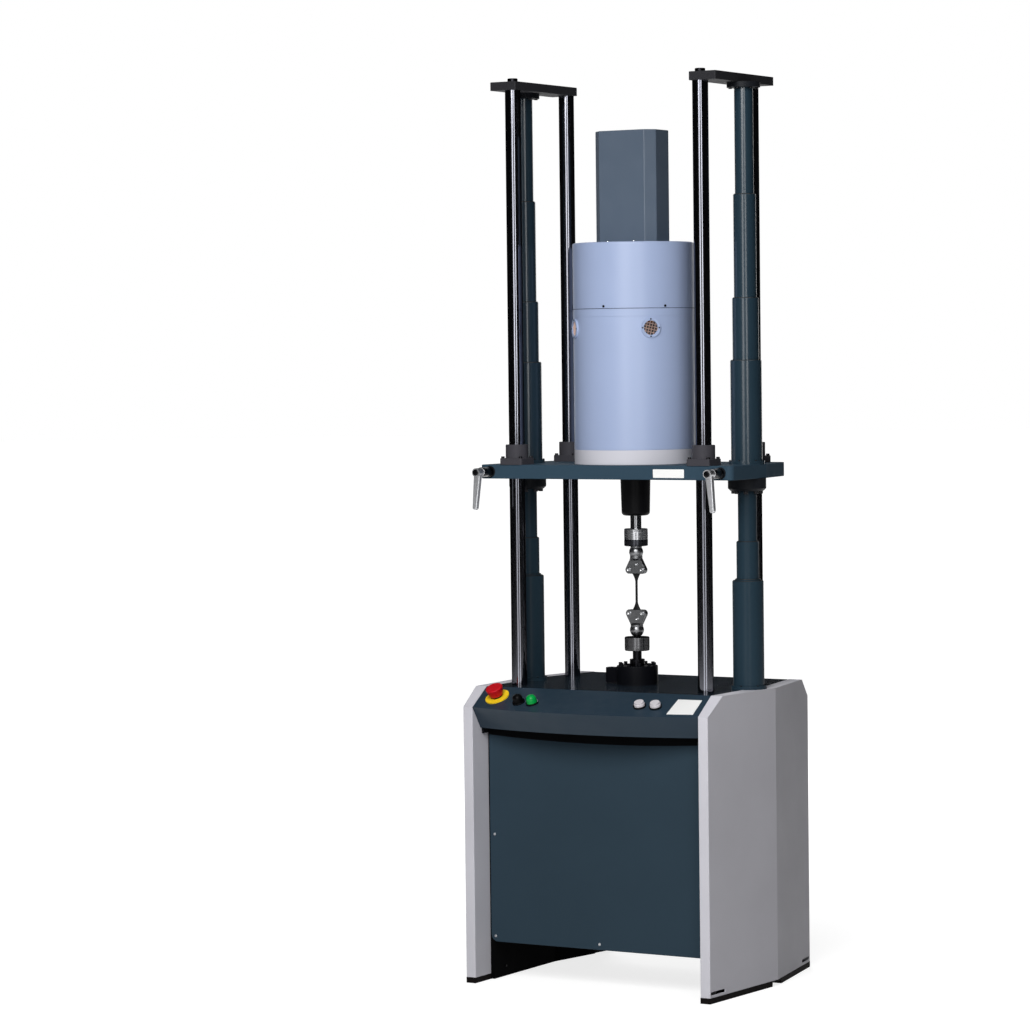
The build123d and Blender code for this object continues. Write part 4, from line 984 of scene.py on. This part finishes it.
# A black strip on the panel under the console's lip is painted shadow: the lip's shade drawn as a dark sheet,
# with a bowed lower edge.
bm = bmesh.new()
sections = []
for k in range(SHADOW_STRIP_STEPS + 1):
    x = SHADOW_STRIP_HALF * (2 * k / SHADOW_STRIP_STEPS - 1)
    low = SHADOW_STRIP_MIDDLE + (SHADOW_STRIP_ENDS - SHADOW_STRIP_MIDDLE) * (x / SHADOW_STRIP_HALF) ** 2
    outline = ((PANEL_FACE, low), (SHADOW_STRIP_FRONT, low + SHADOW_STRIP_EDGE), (SHADOW_STRIP_FRONT, SHADOW_STRIP_TOP), (PANEL_FACE, SHADOW_STRIP_TOP))
    sections.append([bm.verts.new(Vector((x, y, z)) * MM) for y, z in outline])
add_skin(bm, sections)
shaped_piece("painted_lip_shadow_strip", bm, "base", black_joint_and_painted_shadow)
print("seal sections:", len(sections))

# %% Lip brackets
UPRIGHT, FLAT, BRACKET_Y = (25, 14, 3, 1.5, 0.4), (8, 25, 2.4, 1.0, 0.4), -213.5
bm = bmesh.new()
bracket_marks, frame_marks = [], []
for side in (-1, 1):
    inward = (-side, 0, 0)
    add_plate(bm, UPRIGHT, facing((side * 309.3, BRACKET_Y, 614), inward))
    add_plate(bm, FLAT, facing((side * 303.5, BRACKET_Y, 618.6), UP))
    bracket_marks.append(mark(side * 306.3, -217, 613, inward))
    frame_marks.append(mark(side * 299.5, -141.2, 25.7, inward))
shaped_piece("lip_brackets", bm, "base", flange_black)
screws("lip_bracket_screws", bracket_marks + frame_marks, 2.6, 1.6, "base", black_screw)

# %% [markdown]
# ## Button crowns
# The photograph shows the black and the green button as domed caps that stand well out of their bezels. A
# turned crown sits on each cap and rides with it. The console's slope is bowed, so a function gives the point
# and the normal at a place on it.

# %% Console slope
TABLE_EDGE = Vector((0, -200.0, 719.5))
BREAK_Z, BREAK_FRONT, BREAK_BOW, HALF = 674.0, -268.0, 52.0, 309.5
BOW_R = (HALF ** 2 + BREAK_BOW ** 2) / (2 * BREAK_BOW)


def on_console(x, share, lift=0.0):
    root = math.sqrt(BOW_R ** 2 - x ** 2)
    run, drop = BREAK_FRONT - BREAK_BOW + BOW_R - root - TABLE_EDGE.y, BREAK_Z - TABLE_EDGE.z
    point = Vector((x, TABLE_EDGE.y + share * run, TABLE_EDGE.z + share * drop))
    out = Vector((-share * x / root * drop, drop, -run)).normalized()
    return point + out * lift, out


print("slope's bow radius in mm:", round(BOW_R, 1))

# %% Two crowns
CROWN = [(0, 22.6), (5.0, 22.0), (9.0, 20.0), (11.5, 16.6), (12.6, 12.4), (12.7, 6.1), (12.3, 5.7), (0, 5.7)]
BUTTON_SHARE, CROWN_STEPS = 0.645, 40
CROWNS = (
    ("black_button_crown", -179.2, "black_push", cap_black, "black_plastic"),
    ("green_button_crown", -138.7, "green_push", start_green, "green_plastic"),
)
for name, x, body, finish, slot in CROWNS:
    bm = bmesh.new()
    add_turned(bm, CROWN, facing(*on_console(x, BUTTON_SHARE)), CROWN_STEPS, closed=False)
    shaped_piece(name, bm, body, finish)
print("button crowns:", len(CROWNS))

# %% [markdown]
# ## Plates left blank
# A white plate sits on the crosshead's front edge, and another lies on the right end of the console. They stay
# blank here. The first is a rounded plate with a broken edge. The second follows the bowed slope, so it is a
# thin sheet of points on it, closed round its rim.

# %% Crosshead plate
CROSS_PLATE, PLATE_X, PLATE_Z = (84, 20.5, 0.9, 1.6, 0.25), 178.5, 1240.2
bm = bmesh.new()
add_plate(bm, CROSS_PLATE, facing((PLATE_X, CROSS_FRONT, PLATE_Z), FRONT))
shaped_piece("crosshead_blank_plate", bm, "crosshead", plate_white)
print("crosshead plate ready")

# %% Console plate
COLUMNS, ROWS, SHEET_LEFT, SHEET_WIDTH, SHEET_TOP, SHEET_SHARE = 9, 7, 233, 62, 0.23, 0.65
SHEET_LIFTS = (0.05, 0.55)  # underside and face above the slope
bm = bmesh.new()
sheet = {}
for layer, lift in enumerate(SHEET_LIFTS):
    for i in range(ROWS):
        for j in range(COLUMNS):
            share = SHEET_TOP + SHEET_SHARE * i / (ROWS - 1)
            point, _ = on_console(SHEET_LEFT + SHEET_WIDTH * j / (COLUMNS - 1), share, lift)
            sheet[layer, i, j] = bm.verts.new(point * MM)
for i in range(ROWS - 1):
    for j in range(COLUMNS - 1):
        for s in (0, 1):
            bm.faces.new((sheet[s, i, j], sheet[s, i, j + 1], sheet[s, i + 1, j + 1], sheet[s, i + 1, j]))
rim = [(0, j) for j in range(COLUMNS)] + [(i, COLUMNS - 1) for i in range(1, ROWS)]
rim += [(ROWS - 1, j) for j in range(COLUMNS - 2, -1, -1)] + [(i, 0) for i in range(ROWS - 2, 0, -1)]
for (i, j), (k, m) in zip(rim, rim[1:] + rim[:1]):
    bm.faces.new((sheet[0, i, j], sheet[0, k, m], sheet[1, k, m], sheet[1, i, j]))
shaped_piece("console_blank_plate", bm, "base", plate_white)
print("console plate points:", len(sheet))

# %% [markdown]
# ## Specimen
# A black rubber dumbbell strip is held between the jaws. It has wide tabs, shoulders that run in hollow curves
# to a narrow gauge length, and slightly rounded edges. It has to follow two joints, the crosshead's slide and
# the actuator's stroke, and one piece can only blend across one joint. So it is lofted as two halves that meet
# in the gauge length, where both follow the crosshead.

# %% Half width and loft
TAB, TAB_STEP, TAB_IN, GAUGE, SHOULDER = 11.5, 1.2, 30, 2.5, 19.0
HALF_THICK, SPECIMEN_EDGE, SPECIMEN_SHARP = 2.0, 0.5, 50


def half_width(z):
    away = min(z - LOW_EAR, HIGH_EAR - z)
    if away <= 0:
        return TAB
    t = min(1.0, away / SHOULDER)
    return GAUGE + (TAB - TAB_STEP - GAUGE) * (1 - t) ** 1.5


def lofted_half(name, low, high, steps):
    bm = bmesh.new()
    loops = []
    t, c = HALF_THICK, SPECIMEN_EDGE
    for k in range(steps + 1):
        z = low + (high - low) * k / steps
        w = half_width(z)
        outline = [(-w + c, -t), (w - c, -t), (w, -t + c), (w, t - c),
                   (w - c, t), (-w + c, t), (-w, t - c), (-w, -t + c)]
        loops.append([bm.verts.new(Vector((x, y, z)) * MM) for x, y in outline])
    add_skin(bm, loops)
    obj = linked_piece(name, tidy_mesh(name, bm), specimen_rubber, SPECIMEN_SHARP)
    return obj


print("loft ready")

# %% Two lofted halves
SPLIT_Z = 952.0
SPEC_LOW, SPEC_HIGH = LOW_EAR - TAB_IN, HIGH_EAR + TAB_IN
lower_half = lofted_half("specimen_lower_half", SPEC_LOW, SPLIT_Z, 60)
upper_half = lofted_half("specimen_upper_half", SPLIT_Z, SPEC_HIGH, 50)
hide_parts("test_specimen")
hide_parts("test_specimen")
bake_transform(lower_half, "base", "crosshead", start=(0, 0, LOW_EAR * MM), end=(0, 0, SPLIT_Z * MM))
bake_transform(upper_half, "crosshead", "rod", start=(0, 0, SPLIT_Z * MM), end=(0, 0, HIGH_EAR * MM))
print("specimen length in mm:", round(SPEC_HIGH - SPEC_LOW, 1))

# %% [markdown]
# ## Size
# How far the dressed machine reaches past its solids is printed, in millimetres. The
# dressed machine may not outgrow its solids.

# %% Sizes
new_low, new_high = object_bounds()
grown = [[round(1000 * v, 2) for v in step] for step in (cad_low - new_low, new_high - cad_high)]
print("grown by, in mm:", grown)
